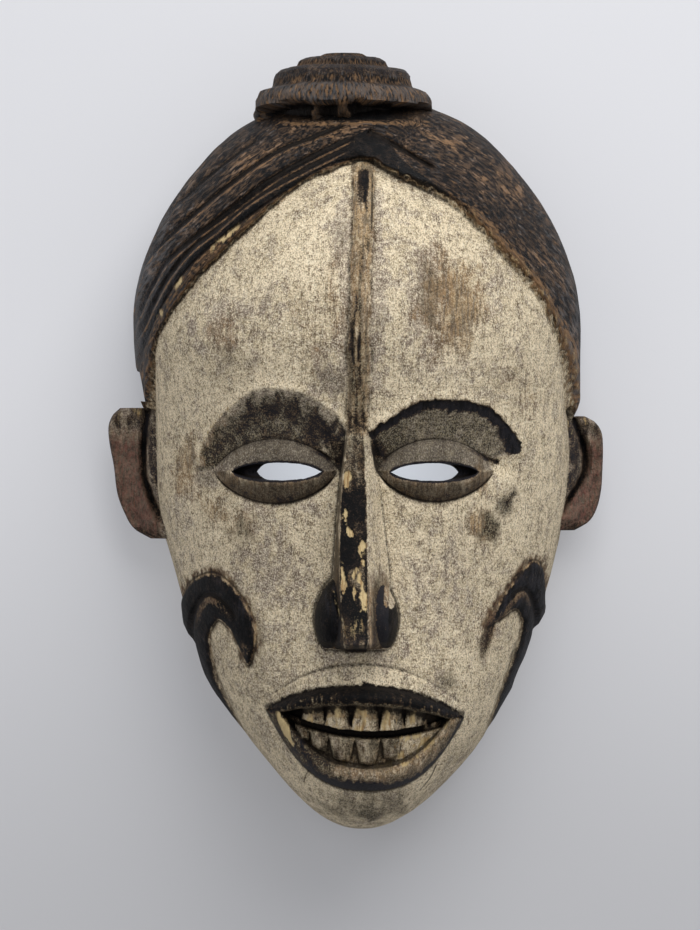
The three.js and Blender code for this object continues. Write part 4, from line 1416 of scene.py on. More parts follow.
def adaptive_triangles(points: Array, size: int, tolerance: float) -> Array:
    """Right triangles that are halved only where the surface needs it.

    The error at the middle of each long side is the distance from that side to the surface, and never less
    than the errors of the smaller triangles under it, so two neighbours always halve a shared side
    together.

    Args:
        points: a row for each grid point: its place, and anything else that has to be followed.
        size: number of cells along the grid's side, a power of two.
        tolerance: largest error that is left.

    Returns:
        Rows of three indices into points.
    """
    wide = size + 1

    def middle(rows: Array) -> Array:
        """Index of the middle of each long side."""
        return (rows[:, 1] + rows[:, 3]) // 2 * wide + (rows[:, 0] + rows[:, 2]) // 2

    def halves(rows: Array) -> Array:
        """Both halves of each triangle (a, b, c): (c, a, m) and (b, c, m), with m the middle of a and b."""
        a, b, c = rows[:, 0:2], rows[:, 2:4], rows[:, 4:6]
        m = (a + b) // 2
        return np.concatenate([np.hstack([c, a, m]), np.hstack([b, c, m])])

    roots = np.array([[0, 0, size, size, size, 0], [size, size, 0, 0, 0, size]], np.int32)
    levels = [roots]
    while len(levels) < 2 * int(math.log2(size)):
        levels.append(halves(levels[-1]))
    errors = np.zeros(wide * wide, np.float32)
    for depth, rows in enumerate(reversed(levels)):
        here = middle(rows)
        first = rows[:, 1] * wide + rows[:, 0]
        second = rows[:, 3] * wide + rows[:, 2]
        own = np.linalg.norm((points[first] + points[second]) / 2.0 - points[here], axis=1)
        if depth:
            below = halves(rows)
            under = errors[middle(below)].reshape(2, -1).max(0)
            own = np.maximum(own, under)
        np.maximum.at(errors, here, own.astype(np.float32))
    kept = []
    active = roots
    for _ in levels:
        split = errors[middle(active)] > tolerance
        kept.append(active[~split])
        active = halves(active[split])
    rows = np.concatenate([*kept, active])
    a, b, c = (rows[:, k + 1] * wide + rows[:, k] for k in (0, 2, 4))
    return np.stack([b, a, c], 1)


class Source(Enum):
    """Which solid a face comes from. The number is its place in the finished piece's list of materials."""

    CARVED = 0
    GOUGED = 1


@dataclass
class Solid:
    """A closed mesh in the making: points in millimetres, faces, coats for each point, and its source."""

    name: str
    points: Array
    faces: Array
    coats: dict[Coat, Array]
    source: Source

    def to_object(self, finishes: Sequence[bpy.types.Material]) -> bpy.types.Object:
        """Puts the solid into a mesh object, in metres, with its coats as attributes of its points.

        Args:
            finishes: materials in the order of Source.

        Returns:
            The new object.
        """
        used, order = np.unique(self.faces, return_inverse=True)
        faces = order.reshape(self.faces.shape).astype(np.int32)
        mesh = bpy.data.meshes.new(self.name)
        corners = faces.shape[1]
        mesh.vertices.add(len(used))
        mesh.vertices.foreach_set("co", (self.points[used] * MM).astype(np.float32).ravel())
        mesh.loops.add(faces.size)
        mesh.loops.foreach_set("vertex_index", faces.ravel())
        mesh.polygons.add(len(faces))
        mesh.polygons.foreach_set("loop_start", np.arange(0, faces.size, corners, dtype=np.int32))
        for finish in finishes:
            mesh.materials.append(finish)
        mesh.polygons.foreach_set("material_index", np.full(len(faces), self.source.value, np.int32))
        for coat in Coat:
            share = self.coats.get(coat, np.zeros(len(self.points), np.float32))
            layer = mesh.attributes.new(coat.value, "FLOAT", "POINT")
            layer.data.foreach_set("value", share[used].astype(np.float32))
        marker = mesh.attributes.new(OWN, "FLOAT", "POINT")
        marker.data.foreach_set("value", np.ones(len(used), np.float32))
        mesh.update(calc_edges=True)
        mesh.validate()
        made = bpy.data.objects.new(self.name, mesh)
        bpy.context.scene.collection.objects.link(made)
        return made


def close_below(triangles: Array, centre: int) -> Array:
    """Adds a fan from the open edge of a sheet of triangles to one point.

    Args:
        triangles: rows of three indices.
        centre: index of the point that closes the fan.

    Returns:
        All triangles, the fan included.
    """
    edges = np.concatenate([triangles[:, [0, 1]], triangles[:, [1, 2]], triangles[:, [2, 0]]])
    key = edges.min(1).astype(np.int64) * (centre + 1) + edges.max(1)
    _, first, count = np.unique(key, return_index=True, return_counts=True)
    rim = edges[first[count == 1]]
    fan = np.stack([rim[:, 1], rim[:, 0], np.full(len(rim), centre)], 1)
    return np.concatenate([triangles, fan])


def tube_faces(rows: int, columns: int) -> Array:
    """Quads of a closed tube of rings, each split in two, for points in rings of equal count.

    Args:
        rows: number of rings.
        columns: points in each ring.

    Returns:
        Rows of three indices, facing out when rings run upwards and points run clockwise seen from above.
    """
    r, c = np.meshgrid(np.arange(rows - 1), np.arange(columns), indexing="ij")
    a = (r * columns + c).ravel()
    b = (r * columns + (c + 1) % columns).ravel()
    return np.concatenate([np.stack([a, a + columns, b], 1), np.stack([b, a + columns, b + columns], 1)])


def closed_tube(rows: int, columns: int) -> Array:
    """Faces of a tube of rings with a fan at each end; the two points after the rings are its poles.

    Args:
        rows: number of rings.
        columns: points in each ring.

    Returns:
        Rows of three indices.
    """
    ring = np.arange(columns)
    after = (ring + 1) % columns
    last = (rows - 1) * columns
    pole = np.full(columns, rows * columns)
    low = np.stack([ring, after, pole], 1)
    high = np.stack([last + after, last + ring, pole + 1], 1)
    return np.concatenate([tube_faces(rows, columns), low, high])


@dataclass(frozen=True)
class CarvedDome:
    """The carved front closed by a flat bottom at the rim."""

    shell: HeadShell
    size: int = 1024
    tolerance: float = 0.087
    colour_weight: float = 0.165
    edge_start: float = 0.86
    lean: float = 0.8
    tall: float = 2.0
    blur_share: int = 200
    dent: float = 0.7
    crest: float = 0.55
    foot: float = 6.0

    def build(self, parts: Sequence[Form], cracks: Sequence[Form], grain: Grain) -> Solid:
        """Carves every form into the front, finds its hollows (dirt and painted shade) and crests, and lays
        it out in triangles.

        The carving pushes the shell out along Z, and near the rim along a direction that leans outwards.

        Args:
            parts: forms in the order in which they are cut.
            cracks: cracks that are cut last.
            grain: random field.

        Returns:
            The closed dome.
        """
        front = self.shell.front(self.size, grain)
        for part in parts:
            part.carve(front)
        front.add(front.proud)
        for crack in cracks:
            crack.carve(front)
        reach = self.size // self.blur_share
        relief = front.height
        low = relief - front.proud + self.tall * np.tanh(front.proud / self.tall)
        fine = low - box_blur(low, reach)
        # Hollows get dirt and painted shade, more the deeper they dip below the blurred carving.
        front.lay(Coat.DIRT_AND_SHADE, -fine / self.dent)
        front.lay(Coat.CREST, fine / self.crest * (1.0 - front.sheltered))
        lean = ease(self.edge_start, 1.0, front.fraction) * self.lean
        radius = np.hypot(front.x, front.y) + 1e-6
        out = np.stack([front.x / radius * lean, front.y / radius * lean, 1.0 - 0.9 * lean], -1)
        out /= np.linalg.norm(out, axis=-1, keepdims=True)
        high = (relief * ease(0.0, self.foot, front.z))[..., None]
        points = (np.stack([front.x, front.y, front.z], -1) + out * high).reshape(-1, 3)
        colour = np.stack([front.coats[c] for c in (Coat.BLACK, Coat.HAIR, Coat.GRIME_AND_SHADE)], -1).reshape(-1, 3)
        followed = np.hstack([points, colour * self.colour_weight])
        triangles = adaptive_triangles(followed, self.size, self.tolerance)
        centre = len(points)
        faces = close_below(triangles, centre)
        points = np.vstack([points, [[0.0, 0.0, 0.0]]])
        coats = {coat: np.append(share.ravel(), 0.0) for coat, share in front.coats.items()}
        log.info("carved dome: %d triangles", len(faces))
        return Solid("dome", points, faces, coats, Source.CARVED)


@dataclass(frozen=True)
class Hollow:
    """The space behind the face: the shell drawn in by the wall, with the shallow facets of a gouge."""

    shell: HeadShell
    wall_side: float = 11.0
    wall_front: float = 15.0
    wall_mouth: float = 6.0
    mouth: Point = (3.8, -112.8)
    size: int = 256
    tolerance: float = 0.16
    facet: float = 13.0
    facet_deep: float = 0.9
    half_wide: float = 95.0
    half_tall: float = 150.0
    scoop_columns: int = 16
    scoop_rows: int = 20
    scoops_wide: float = 200.0
    scoops_tall: float = 310.0
    seed: int = 5
    cut_below: float = -2.0

    def build(self, grain: Grain) -> Solid:
        """Lays out the hollow: over the smooth inner shell, each gouge mark is a shallow scoop round a
        scattered middle, and the deepest scoop at a point wins.

        Args:
            grain: random field for unevenness.

        Returns:
            The closed solid that is cut away.
        """
        row = np.linspace(-1.0, 1.0, self.size + 1)
        p, q = np.meshgrid(row, row)
        x, y, fraction = self.shell.place(p, q, self.wall_side)
        away = np.hypot(x - self.mouth[0], y - self.mouth[1])
        lower = self.wall_front + self.wall_mouth * bell(away / 60.0)
        z = self.shell.height(y, fraction, lower)
        scoop = self.scoops(p * self.half_wide, q * self.half_tall)
        inner = ease(1.0, 0.97, fraction)
        z = z + inner * (self.facet_deep * scoop + 0.5 * grain.at(x, y, z, 24.0))
        z = np.where(fraction > 0.999999, self.cut_below, np.maximum(z, 0.0))
        points = np.stack([x, y, z], -1).reshape(-1, 3).astype(np.float32)
        triangles = adaptive_triangles(points, self.size, self.tolerance)
        faces = close_below(triangles, len(points))
        points = np.vstack([points, [[0.0, 0.0, self.cut_below]]])
        log.info("hollow: %d triangles", len(faces))
        return Solid("hollow", points, faces, {}, Source.GOUGED)

    def scoops(self, across: Array, up: Array) -> Array:
        """Gouge marks: 1 less the square of the distance to the nearest scattered middle.

        Args:
            across: places across the developed hollow.
            up: places up it.

        Returns:
            How far each point lies in its scoop, from 0 to 1.
        """
        draw = np.random.default_rng(self.seed)
        best = np.zeros(across.shape)
        for row in range(self.scoop_rows):
            for column in range(self.scoop_columns):
                jitter = draw.uniform(-0.3, 0.3, 2)
                cx = ((column + 0.5 + jitter[0]) / self.scoop_columns - 0.5) * self.scoops_wide
                cy = ((row + 0.5 + jitter[1]) / self.scoop_rows - 0.5) * self.scoops_tall
                square = ((across - cx) / self.facet) ** 2 + ((up - cy) / (self.facet * 1.5)) ** 2
                best = np.maximum(best, 1.0 - square)
        return best


@dataclass(frozen=True)
class SlitHole:
    """Hole through the wood at an eye slit: the lens between the ends of the open part, carried along Z."""

    slit: Slit
    low: float = 40.0
    high: float = 135.0
    steps: int = 44
    levels: int = 9
    rough: float = 0.22
    rough_pitch: float = 1.8

    def build(self, name: str, grain: Grain) -> Solid:
        """Rings of the lens at several depths, each a little uneven, closed at both ends.

        Args:
            name: name of the solid.
            grain: random field for the uneven edge.

        Returns:
            The closed solid that is cut away.
        """
        middle, half = self.slit.through
        turn = np.arange(2 * self.steps) / (2 * self.steps) * 2.0 * np.pi
        x = middle - half * np.cos(turn)
        up = np.sin(turn) >= 0.0
        ends = 1.0 - np.abs((x - middle) / half) ** 7.0
        bow = np.where(up, self.slit.bow(x, True), -self.slit.bow(x, False))
        y = self.slit.y + bow * ends
        levels = np.linspace(self.low, self.high, self.levels)
        rings = []
        for level in levels:
            rough = self.rough * grain.at(x, y, np.full_like(x, level), self.rough_pitch)
            rings.append(np.stack([x, y + rough * ends, np.full_like(x, level)], 1))
        poles = [[middle, self.slit.y, level] for level in (self.low, self.high)]
        points = np.concatenate([*rings, poles])
        faces = closed_tube(len(levels), 2 * self.steps)
        # The hole's walls are painted black and grimy: painted shade inside the hole.
        coats = {Coat.BLACK: np.full(len(points), 0.8), Coat.GRIME_AND_SHADE: np.ones(len(points))}
        return Solid(name, points, faces, coats, Source.CARVED)


@dataclass(frozen=True)
class Ear:
    """Ear: an upright dished plate with a flat top and a tapering lobe, and a trench by the head."""

    side: int
    shift: float
    root: float = 78.0
    top: float = 15.8
    bottom: float = -41.4
    edge: tuple[Point, ...] = (
        (0.0, 103.4), (0.06, 106.6), (0.16, 108.5), (0.3, 108.2), (0.5, 106.2), (0.7, 104.6), (0.84, 101.2),
        (0.94, 97.0), (1.0, 90.0),
    )
    front: float = 31.0
    set_back: float = 6.0
    thick: float = 11.5
    dish: float = 4.6
    trench_x: float = 91.0
    trench_wide: float = 3.0
    trench: float = 6.0
    trench_bow: float = 0.0
    columns: int = 32
    rows: int = 40

    def build(self, name: str, grain: Grain) -> Solid:
        """A closed tube of flat rings: each ring runs across the front of the plate from the head to its
        outer edge and back behind it, and rings follow each other from the top to the bottom.

        Args:
            name: name of the solid.
            grain: random field for tool marks.

        Returns:
            The closed solid, which is joined to the head.
        """
        tall = self.top - self.bottom + 2.0 * self.shift
        v = np.linspace(0.0, 1.0, self.rows)
        outer = table_value(self.edge, v)
        loop = np.linspace(0.0, 2.0, 2 * self.columns, endpoint=False)
        u = np.where(loop <= 1.0, loop, 2.0 - loop)
        is_front = loop <= 1.0
        grid_u, grid_v = np.meshgrid(u, v)
        edge = outer[:, None] + 0.0 * grid_u
        x = self.root + (edge - self.root) * grid_u
        y = self.top + self.shift - tall * (grid_v - 0.05 * grid_u * np.sin(np.pi * grid_v))
        ends = np.minimum(ease(-0.02, 0.1, grid_v), ease(1.02, 0.88, grid_v))
        round_edge = np.sqrt(np.clip(1.0 - ((grid_u - 0.82) / 0.18).clip(0.0, 1.0) ** 2, 0.0, 1.0))
        body = (0.35 + 0.65 * ends) * (0.12 + 0.88 * round_edge)
        middle = self.front - self.set_back * grid_u - self.thick / 2.0
        dish = self.dish * ease(self.trench_x, self.trench_x + 6.0, x) * ease(0.0, 4.4, edge - x) * ends
        dish *= ease(0.02, 0.16, grid_v)
        line = self.trench_x - 6.0 * ease(0.5, 0.95, grid_v) + self.trench_bow * bell((grid_v - 0.42) / 0.5)
        close = bell((x - line) / self.trench_wide) * ease(1.04, 0.7, grid_v)
        inner = ease(1.0, -1.0, x - line)
        trench = self.trench * close * ease(1.0, 0.8, grid_v)
        marks = 0.3 * grain.at(x * self.side, y, middle, (5.0, 9.0, 9.0))
        z_front = middle + self.thick / 2.0 * body - dish - trench + marks
        z_back = middle - self.thick / 2.0 * body + 0.6 * marks
        z = np.where(is_front[None, :], np.maximum(z_front, z_back + 1.0), z_back)
        points = np.stack([x * self.side, y, z], -1).reshape(-1, 3)
        count = 2 * self.columns
        faces = tube_faces(self.rows, count)
        last = (self.rows - 1) * count
        half = np.arange(1, self.columns)
        first_cap = self.cap(half, 0, count)
        last_cap = self.cap(half, last, count)[:, ::-1]
        faces = np.concatenate([faces, first_cap, last_cap])
        if self.side < 0:
            faces = faces[:, ::-1]
        coats = self.paint((x, y), edge, grid_v, (close, inner), is_front, grain)
        return Solid(name, points, faces, {k: c.ravel() for k, c in coats.items()}, Source.CARVED)

    def cap(self, half: Array, start: int, count: int) -> Array:
        """Triangles that close one end ring by joining its front run to its back run.

        Args:
            half: steps along the front run.
            start: index of the ring's first point.
            count: points in the ring.

        Returns:
            Rows of three indices.
        """
        front_here = start + half
        front_before = start + half - 1
        back_here = start + (count - half) % count
        back_before = start + (count - half + 1) % count
        one = np.stack([front_before, front_here, back_here], 1)
        two = np.stack([front_before, back_here, back_before], 1)[1:]
        tip = np.array([[start + self.columns - 1, start + self.columns, start + self.columns + 1]])
        return np.concatenate([one, two, tip])

    def paint(
        self,
        place: tuple[Array, Array],
        edge: Array,
        v: Array,
        trench: tuple[Array, Array],
        is_front: Array,
        grain: Grain,
    ) -> dict[Coat, Array]:
        """Red-brown face, dark outer edge, top and tip, black trench, grey strip beside the head.

        Args:
            place: distance of each point from the middle of the head, and place up.
            edge: distance of the outer edge.
            v: share of the way from the top to the bottom.
            trench: nearness to the trench by the head, and what lies between it and the head.
            is_front: where the ring runs across the front.
            grain: random field.

        Returns:
            Coats for each point.
        """
        (x, y), (close, inner) = place, trench
        flat, side_x = 0.0 * x, x * self.side
        noise = grain.at(side_x, y, flat, (1.6, 5.0, 5.0)) + 0.5 * grain.at(side_x, y, flat, 1.4)
        black = np.maximum(close * (0.9 + 0.2 * noise), 0.5 * ease(2.6, 0.4, edge - x))
        black = np.maximum(black, ease(0.84, 1.0, v) * (0.6 + 0.3 * noise))
        top = ease(0.34, 0.12, v)
        black = np.maximum(black, top * (0.46 + 0.3 * noise))
        grey = inner * (1.0 - close)
        black = np.maximum(black, grey * (0.58 + 0.2 * noise))
        pale = ease(0.3, 0.02, v) * ease(0.0, 0.5, noise) + 0.3 * grey * ease(-0.1, 0.5, noise)
        front = np.broadcast_to(is_front[None, :], x.shape)
        return {
            Coat.RED: (1.0 - 0.9 * grey) * (1.0 - 0.75 * top),
            Coat.BLACK: np.clip(np.where(front, black, 0.35), 0.0, 1.0),
            Coat.GRIME_AND_SHADE: np.clip(0.45 + 0.3 * noise + 0.3 * top + 0.2 * grey, 0.0, 1.0),
            Coat.VIOLET_AND_SHEEN: 0.7 * top + 0.8 * grey,
            Coat.SMOOTH: np.full_like(x, 0.7),
            Coat.BARE_AND_HIGHLIGHT: np.clip(pale * 0.42, 0.0, 1.0) * front,
            Coat.ACROSS: x,
            Coat.ALONG: y,
        }


@dataclass(frozen=True)
class HairKnot:
    """Knot on the crown: a stack of worn tiers, flattened front to back, broken out under the lowest one."""

    x: float = -5.6
    z: float = 44.0
    foot: float = 116.0
    lip: float = 140.2
    flat: float = 0.84
    profile: tuple[Point, ...] = (
        (116, 31), (134, 33.0), (138, 37.4), (142, 38.6), (147, 38.2), (150.2, 36), (151.6, 31.5),
        (152.6, 30.2), (154.5, 29.8), (158.0, 28.6), (159.9, 26), (160.6, 20.6), (161.4, 19.2),
        (163.6, 18.4), (165.0, 16), (165.5, 11.0), (166.2, 9.4), (167.3, 7.4), (167.8, 4.0), (167.8, 0.2),
    )
    columns: int = 144
    rows: int = 80

    def build(self, name: str, grain: Grain) -> Solid:
        """Turns the profile round an upright axis, with wavering rings, and sinks the broken hollow.

        Args:
            name: name of the solid.
            grain: random field for worn edges.

        Returns:
            The closed solid, which is joined to the head.
        """
        given = np.array(self.profile)
        steps = np.concatenate([[0.0], np.cumsum(np.hypot(*np.diff(given, axis=0).T))])
        along = np.linspace(0.0, steps[-1], self.rows)
        height = np.interp(along, steps, given[:, 0])
        radius = np.interp(along, steps, given[:, 1])
        turn = np.arange(self.columns) / self.columns * 2.0 * np.pi
        grid_turn, grid_height = np.meshgrid(turn, height)
        grid_radius = radius[:, None] + 0.0 * grid_turn
        side, face = np.sin(grid_turn), np.cos(grid_turn)
        x = grid_radius * side
        z = grid_radius * face * self.flat
        wave = grain.at(x + 40.0, grid_height, z, (11.0, 9.0, 11.0))
        nick = grain.at(x, grid_height + 9.0, z, (3.6, 3.0, 3.6))
        flute = grain.at(34.0 * grid_turn, 0.35 * grid_height, 0.0 * z, 2.6)
        grid_radius = grid_radius + ease(0.2, 8.0, grid_radius) * (1.0 * wave + 0.5 * nick + 0.35 * flute)
        lift = 0.9 * grain.at(x, 0.0 * x, z, 16.0) * ease(self.lip + 2.0, self.lip + 8.0, grid_height)
        break_edge = grain.at(x, grid_height, z, (5.0, 4.0, 5.0))
        inside = ease(0.0, 0.22, face) * ease(self.lip + 3.6, self.lip + 1.2, grid_height + 1.1 * break_edge)
        lumps = 4.2 * np.maximum(bell((x + 13.5) / 4.0), bell((x - 0.7) / 7.0)) * ease(-0.4, 0.4, nick + 0.4)
        grid_radius = grid_radius - inside * (11.0 - lumps * 2.0)
        px = self.x + grid_radius * side
        pz = self.z + grid_radius * face * self.flat
        py = np.minimum(grid_height + lift * 0.6, self.profile[-1][0])
        points = np.stack([px, py, pz], -1).reshape(-1, 3)
        points = np.vstack([points, [[self.x, self.foot, self.z]], [[self.x, self.profile[-1][0], self.z]]])
        faces = closed_tube(self.rows, self.columns)
        coats = self.paint(grid_height, inside, lumps, x, z, grain)
        coats = {coat: np.append(share.ravel(), [0.0, 0.0]) for coat, share in coats.items()}
        return Solid(name, points, faces, coats, Source.CARVED)

    def paint(
        self, height: Array, inside: Array, lumps: Array, x: Array, z: Array, grain: Grain,
    ) -> dict[Coat, Array]:
        """Dark upper parts of each tier, orange-brown feet, and black as painted shade in the broken hollow.

        Args:
            height: height of each point.
            inside: share of the broken hollow.
            lumps: height of the wood left in it.
            x: places across.
            z: places out of the face.
            grain: random field.

        Returns:
            Coats for each point.
        """
        noise = grain.at(x, height, z, (1.6, 4.0, 3.0))
        feet = sum(bell((height - at) / tall) for at, tall in ((153.4, 3.4), (161.8, 2.6), (166.4, 1.8)))
        dark = ease(0.75, 0.2, feet + 0.25 * noise)
        # Painted shade: black deep in the broken hollow.
        hollow_shade = ease(0.3, 0.7, inside) * ease(3.6, 1.6, lumps)
        upper = ease(149.0, 152.0, height)
        base = ease(141.0, 137.0, height) * (1.0 - inside) + inside * ease(1.6, 3.6, lumps)
        brown = feet * (0.34 + 0.4 * noise) + base * (0.7 + 0.4 * noise) + 0.46 * (1.0 - upper)
        return {
            Coat.HAIR: np.ones_like(x),
            Coat.BLACK: np.maximum(dark * (0.06 + 0.56 * upper + 0.2 * noise), hollow_shade),
            Coat.BROWN: np.clip(brown, 0.0, 1.0),
            Coat.GRIME_AND_SHADE: np.clip(0.3 + 0.2 * noise, 0.0, 1.0),
            Coat.VIOLET_AND_SHEEN: 0.5 * dark * (0.6 + 0.4 * upper) + 0.2 * (1.0 - upper) * (1.0 - inside),
            # Dirt and painted shade deep in the broken hollow.
            Coat.DIRT_AND_SHADE: ease(0.5, 1.0, inside) * 0.7,
            Coat.ACROSS: 34.0 * np.arctan2(x, z),
            Coat.ALONG: height,
        }


class Desk:
    """Builds a material's nodes one after another; what feeds one is a value, a socket or a coat."""

    def __init__(self, name: str) -> None:
        """Starts a material with an empty node tree and Object coordinates.

        Args:
            name: name of the material.
        """
        self.material = bpy.data.materials.new(name)
        self.material.use_nodes = True
        self.tree = self.material.node_tree
        self.tree.nodes.clear()
        self.place = self.node("ShaderNodeTexCoord").outputs["Object"]

    def node(self, kind: str, **settings: object) -> bpy.types.Node:
        """Adds a node of a kind and sets its properties."""
        made = self.tree.nodes.new(kind)
        for key, value in settings.items():
            setattr(made, key, value)
        return made

    def feed(self, socket: bpy.types.NodeSocket, value: object) -> None:
        """Links a socket to another one or to the share of a coat, or sets its value."""
        if isinstance(value, Coat):
            value = self.share(value)
        if isinstance(value, bpy.types.NodeSocket):
            self.tree.links.new(value, socket)
        else:
            socket.default_value = value

    def share(self, coat: Coat) -> bpy.types.NodeSocket:
        """The share of a coat, read from the mesh."""
        return self.node("ShaderNodeAttribute", attribute_name=coat.value).outputs["Fac"]

    def sum(self, operation: str, *values: object, clamp: bool = False) -> bpy.types.NodeSocket:
        """One step of arithmetic on numbers."""
        made = self.node("ShaderNodeMath", operation=operation, use_clamp=clamp)
        for socket, value in zip(made.inputs, values):
            self.feed(socket, value)
        return made.outputs[0]

    def times(
        self, first: object, second: object, add: object = None, clamp: bool = False
    ) -> bpy.types.NodeSocket:
        """First times second, with a third number on top where one is given."""
        if add is None:
            return self.sum("MULTIPLY", first, second, clamp=clamp)
        return self.sum("MULTIPLY_ADD", first, second, add, clamp=clamp)

    def ramp(self, value: object, low: object, high: object, top: float = 1.0) -> bpy.types.NodeSocket:
        """S-curve from 0 at low to top at high."""
        made = self.node("ShaderNodeMapRange", interpolation_type="SMOOTHSTEP")
        for key, given in (("Value", value), ("From Min", low), ("From Max", high), ("To Max", top)):
            self.feed(made.inputs[key], given)
        return made.outputs[0]

    def mix(self, share: object, first: object, second: object) -> bpy.types.NodeSocket:
        """Blend of two colours by a share."""
        made = self.node("ShaderNodeMix", data_type="RGBA")
        self.feed(made.inputs[0], share)
        self.feed(made.inputs[6], first)
        self.feed(made.inputs[7], second)
        return made.outputs[2]

    def texture(self, place: object, scale: float, detail: float, roughness: float) -> bpy.types.NodeSocket:
        """Random field round 0.5 at a place, with lumps one over scale long and a number of finer layers."""
        made = self.node("ShaderNodeTexNoise")
        for key, value in (("Scale", scale), ("Detail", detail), ("Roughness", roughness)):
            made.inputs[key].default_value = value
        self.tree.links.new(place, made.inputs["Vector"])
        return made.outputs["Fac"]

    def noise(
        self, size: float, detail: float, roughness: float, stretch: Size = (1.0, 1.0, 1.0)
    ) -> bpy.types.NodeSocket:
        """Random field whose lumps are about size millimetres, drawn out along an axis by a stretch over 1.

        Args:
            size: size of the lumps in millimetres.
            detail: number of finer layers.
            roughness: strength of the finer layers.
            stretch: how much longer the lumps are along each axis.

        Returns:
            A value round 0.5.
        """
        place = self.place
        if stretch != (1.0, 1.0, 1.0):
            mapping = self.node("ShaderNodeMapping")
            mapping.inputs["Scale"].default_value = [1.0 / s for s in stretch]
            self.tree.links.new(place, mapping.inputs["Vector"])
            place = mapping.outputs["Vector"]
        return self.texture(place, 1.0 / (size * MM), detail, roughness)

    def flow(
        self, size: float, detail: float, stretch: float, roughness: float = 0.65
    ) -> bpy.types.NodeSocket:
        """Random field drawn out along the strands of hair, whose places are kept on the mesh.

        Args:
            size: size of the lumps across the strands in millimetres.
            detail: number of finer layers.
            stretch: how much longer the lumps are along the strands.
            roughness: strength of the finer layers.

        Returns:
            A value round 0.5.
        """
        place = self.node("ShaderNodeCombineXYZ")
        self.feed(place.inputs["X"], Coat.ACROSS)
        self.feed(place.inputs["Y"], self.times(Coat.ALONG, 1.0 / stretch))
        return self.texture(place.outputs["Vector"], 1.0 / size, detail, roughness)

    def ragged(self, share: object, noise: object, amount: float, sharp: float) -> bpy.types.NodeSocket:
        """A share whose soft edge noise breaks: (share - 0.5) * sharp + (noise - 0.5) * amount + 0.5."""
        lifted = self.times(self.sum("SUBTRACT", share, 0.5), sharp, 0.5)
        broken = self.times(self.sum("SUBTRACT", noise, 0.5), amount, lifted)
        return self.ramp(broken, 0.0, 1.0)

    def finish(self, colour: object, roughness: object, relief: object, depth: float) -> bpy.types.Material:
        """Joins colour, roughness and bump to the shader.

        Args:
            colour: base colour.
            roughness: roughness.
            relief: height for the bump, or None.
            depth: height of the bump in millimetres.

        Returns:
            The finished material.
        """
        shader = self.node("ShaderNodeBsdfPrincipled")
        self.feed(shader.inputs["Base Color"], colour)
        self.feed(shader.inputs["Roughness"], roughness)
        shader.inputs["Specular IOR Level"].default_value = SPECULAR
        if relief is not None:
            bump = self.node("ShaderNodeBump")
            bump.inputs["Distance"].default_value = depth * MM
            self.feed(bump.inputs["Height"], relief)
            self.tree.links.new(bump.outputs["Normal"], shader.inputs["Normal"])
        output = self.node("ShaderNodeOutputMaterial")
        self.tree.links.new(shader.outputs["BSDF"], output.inputs["Surface"])
        return self.material


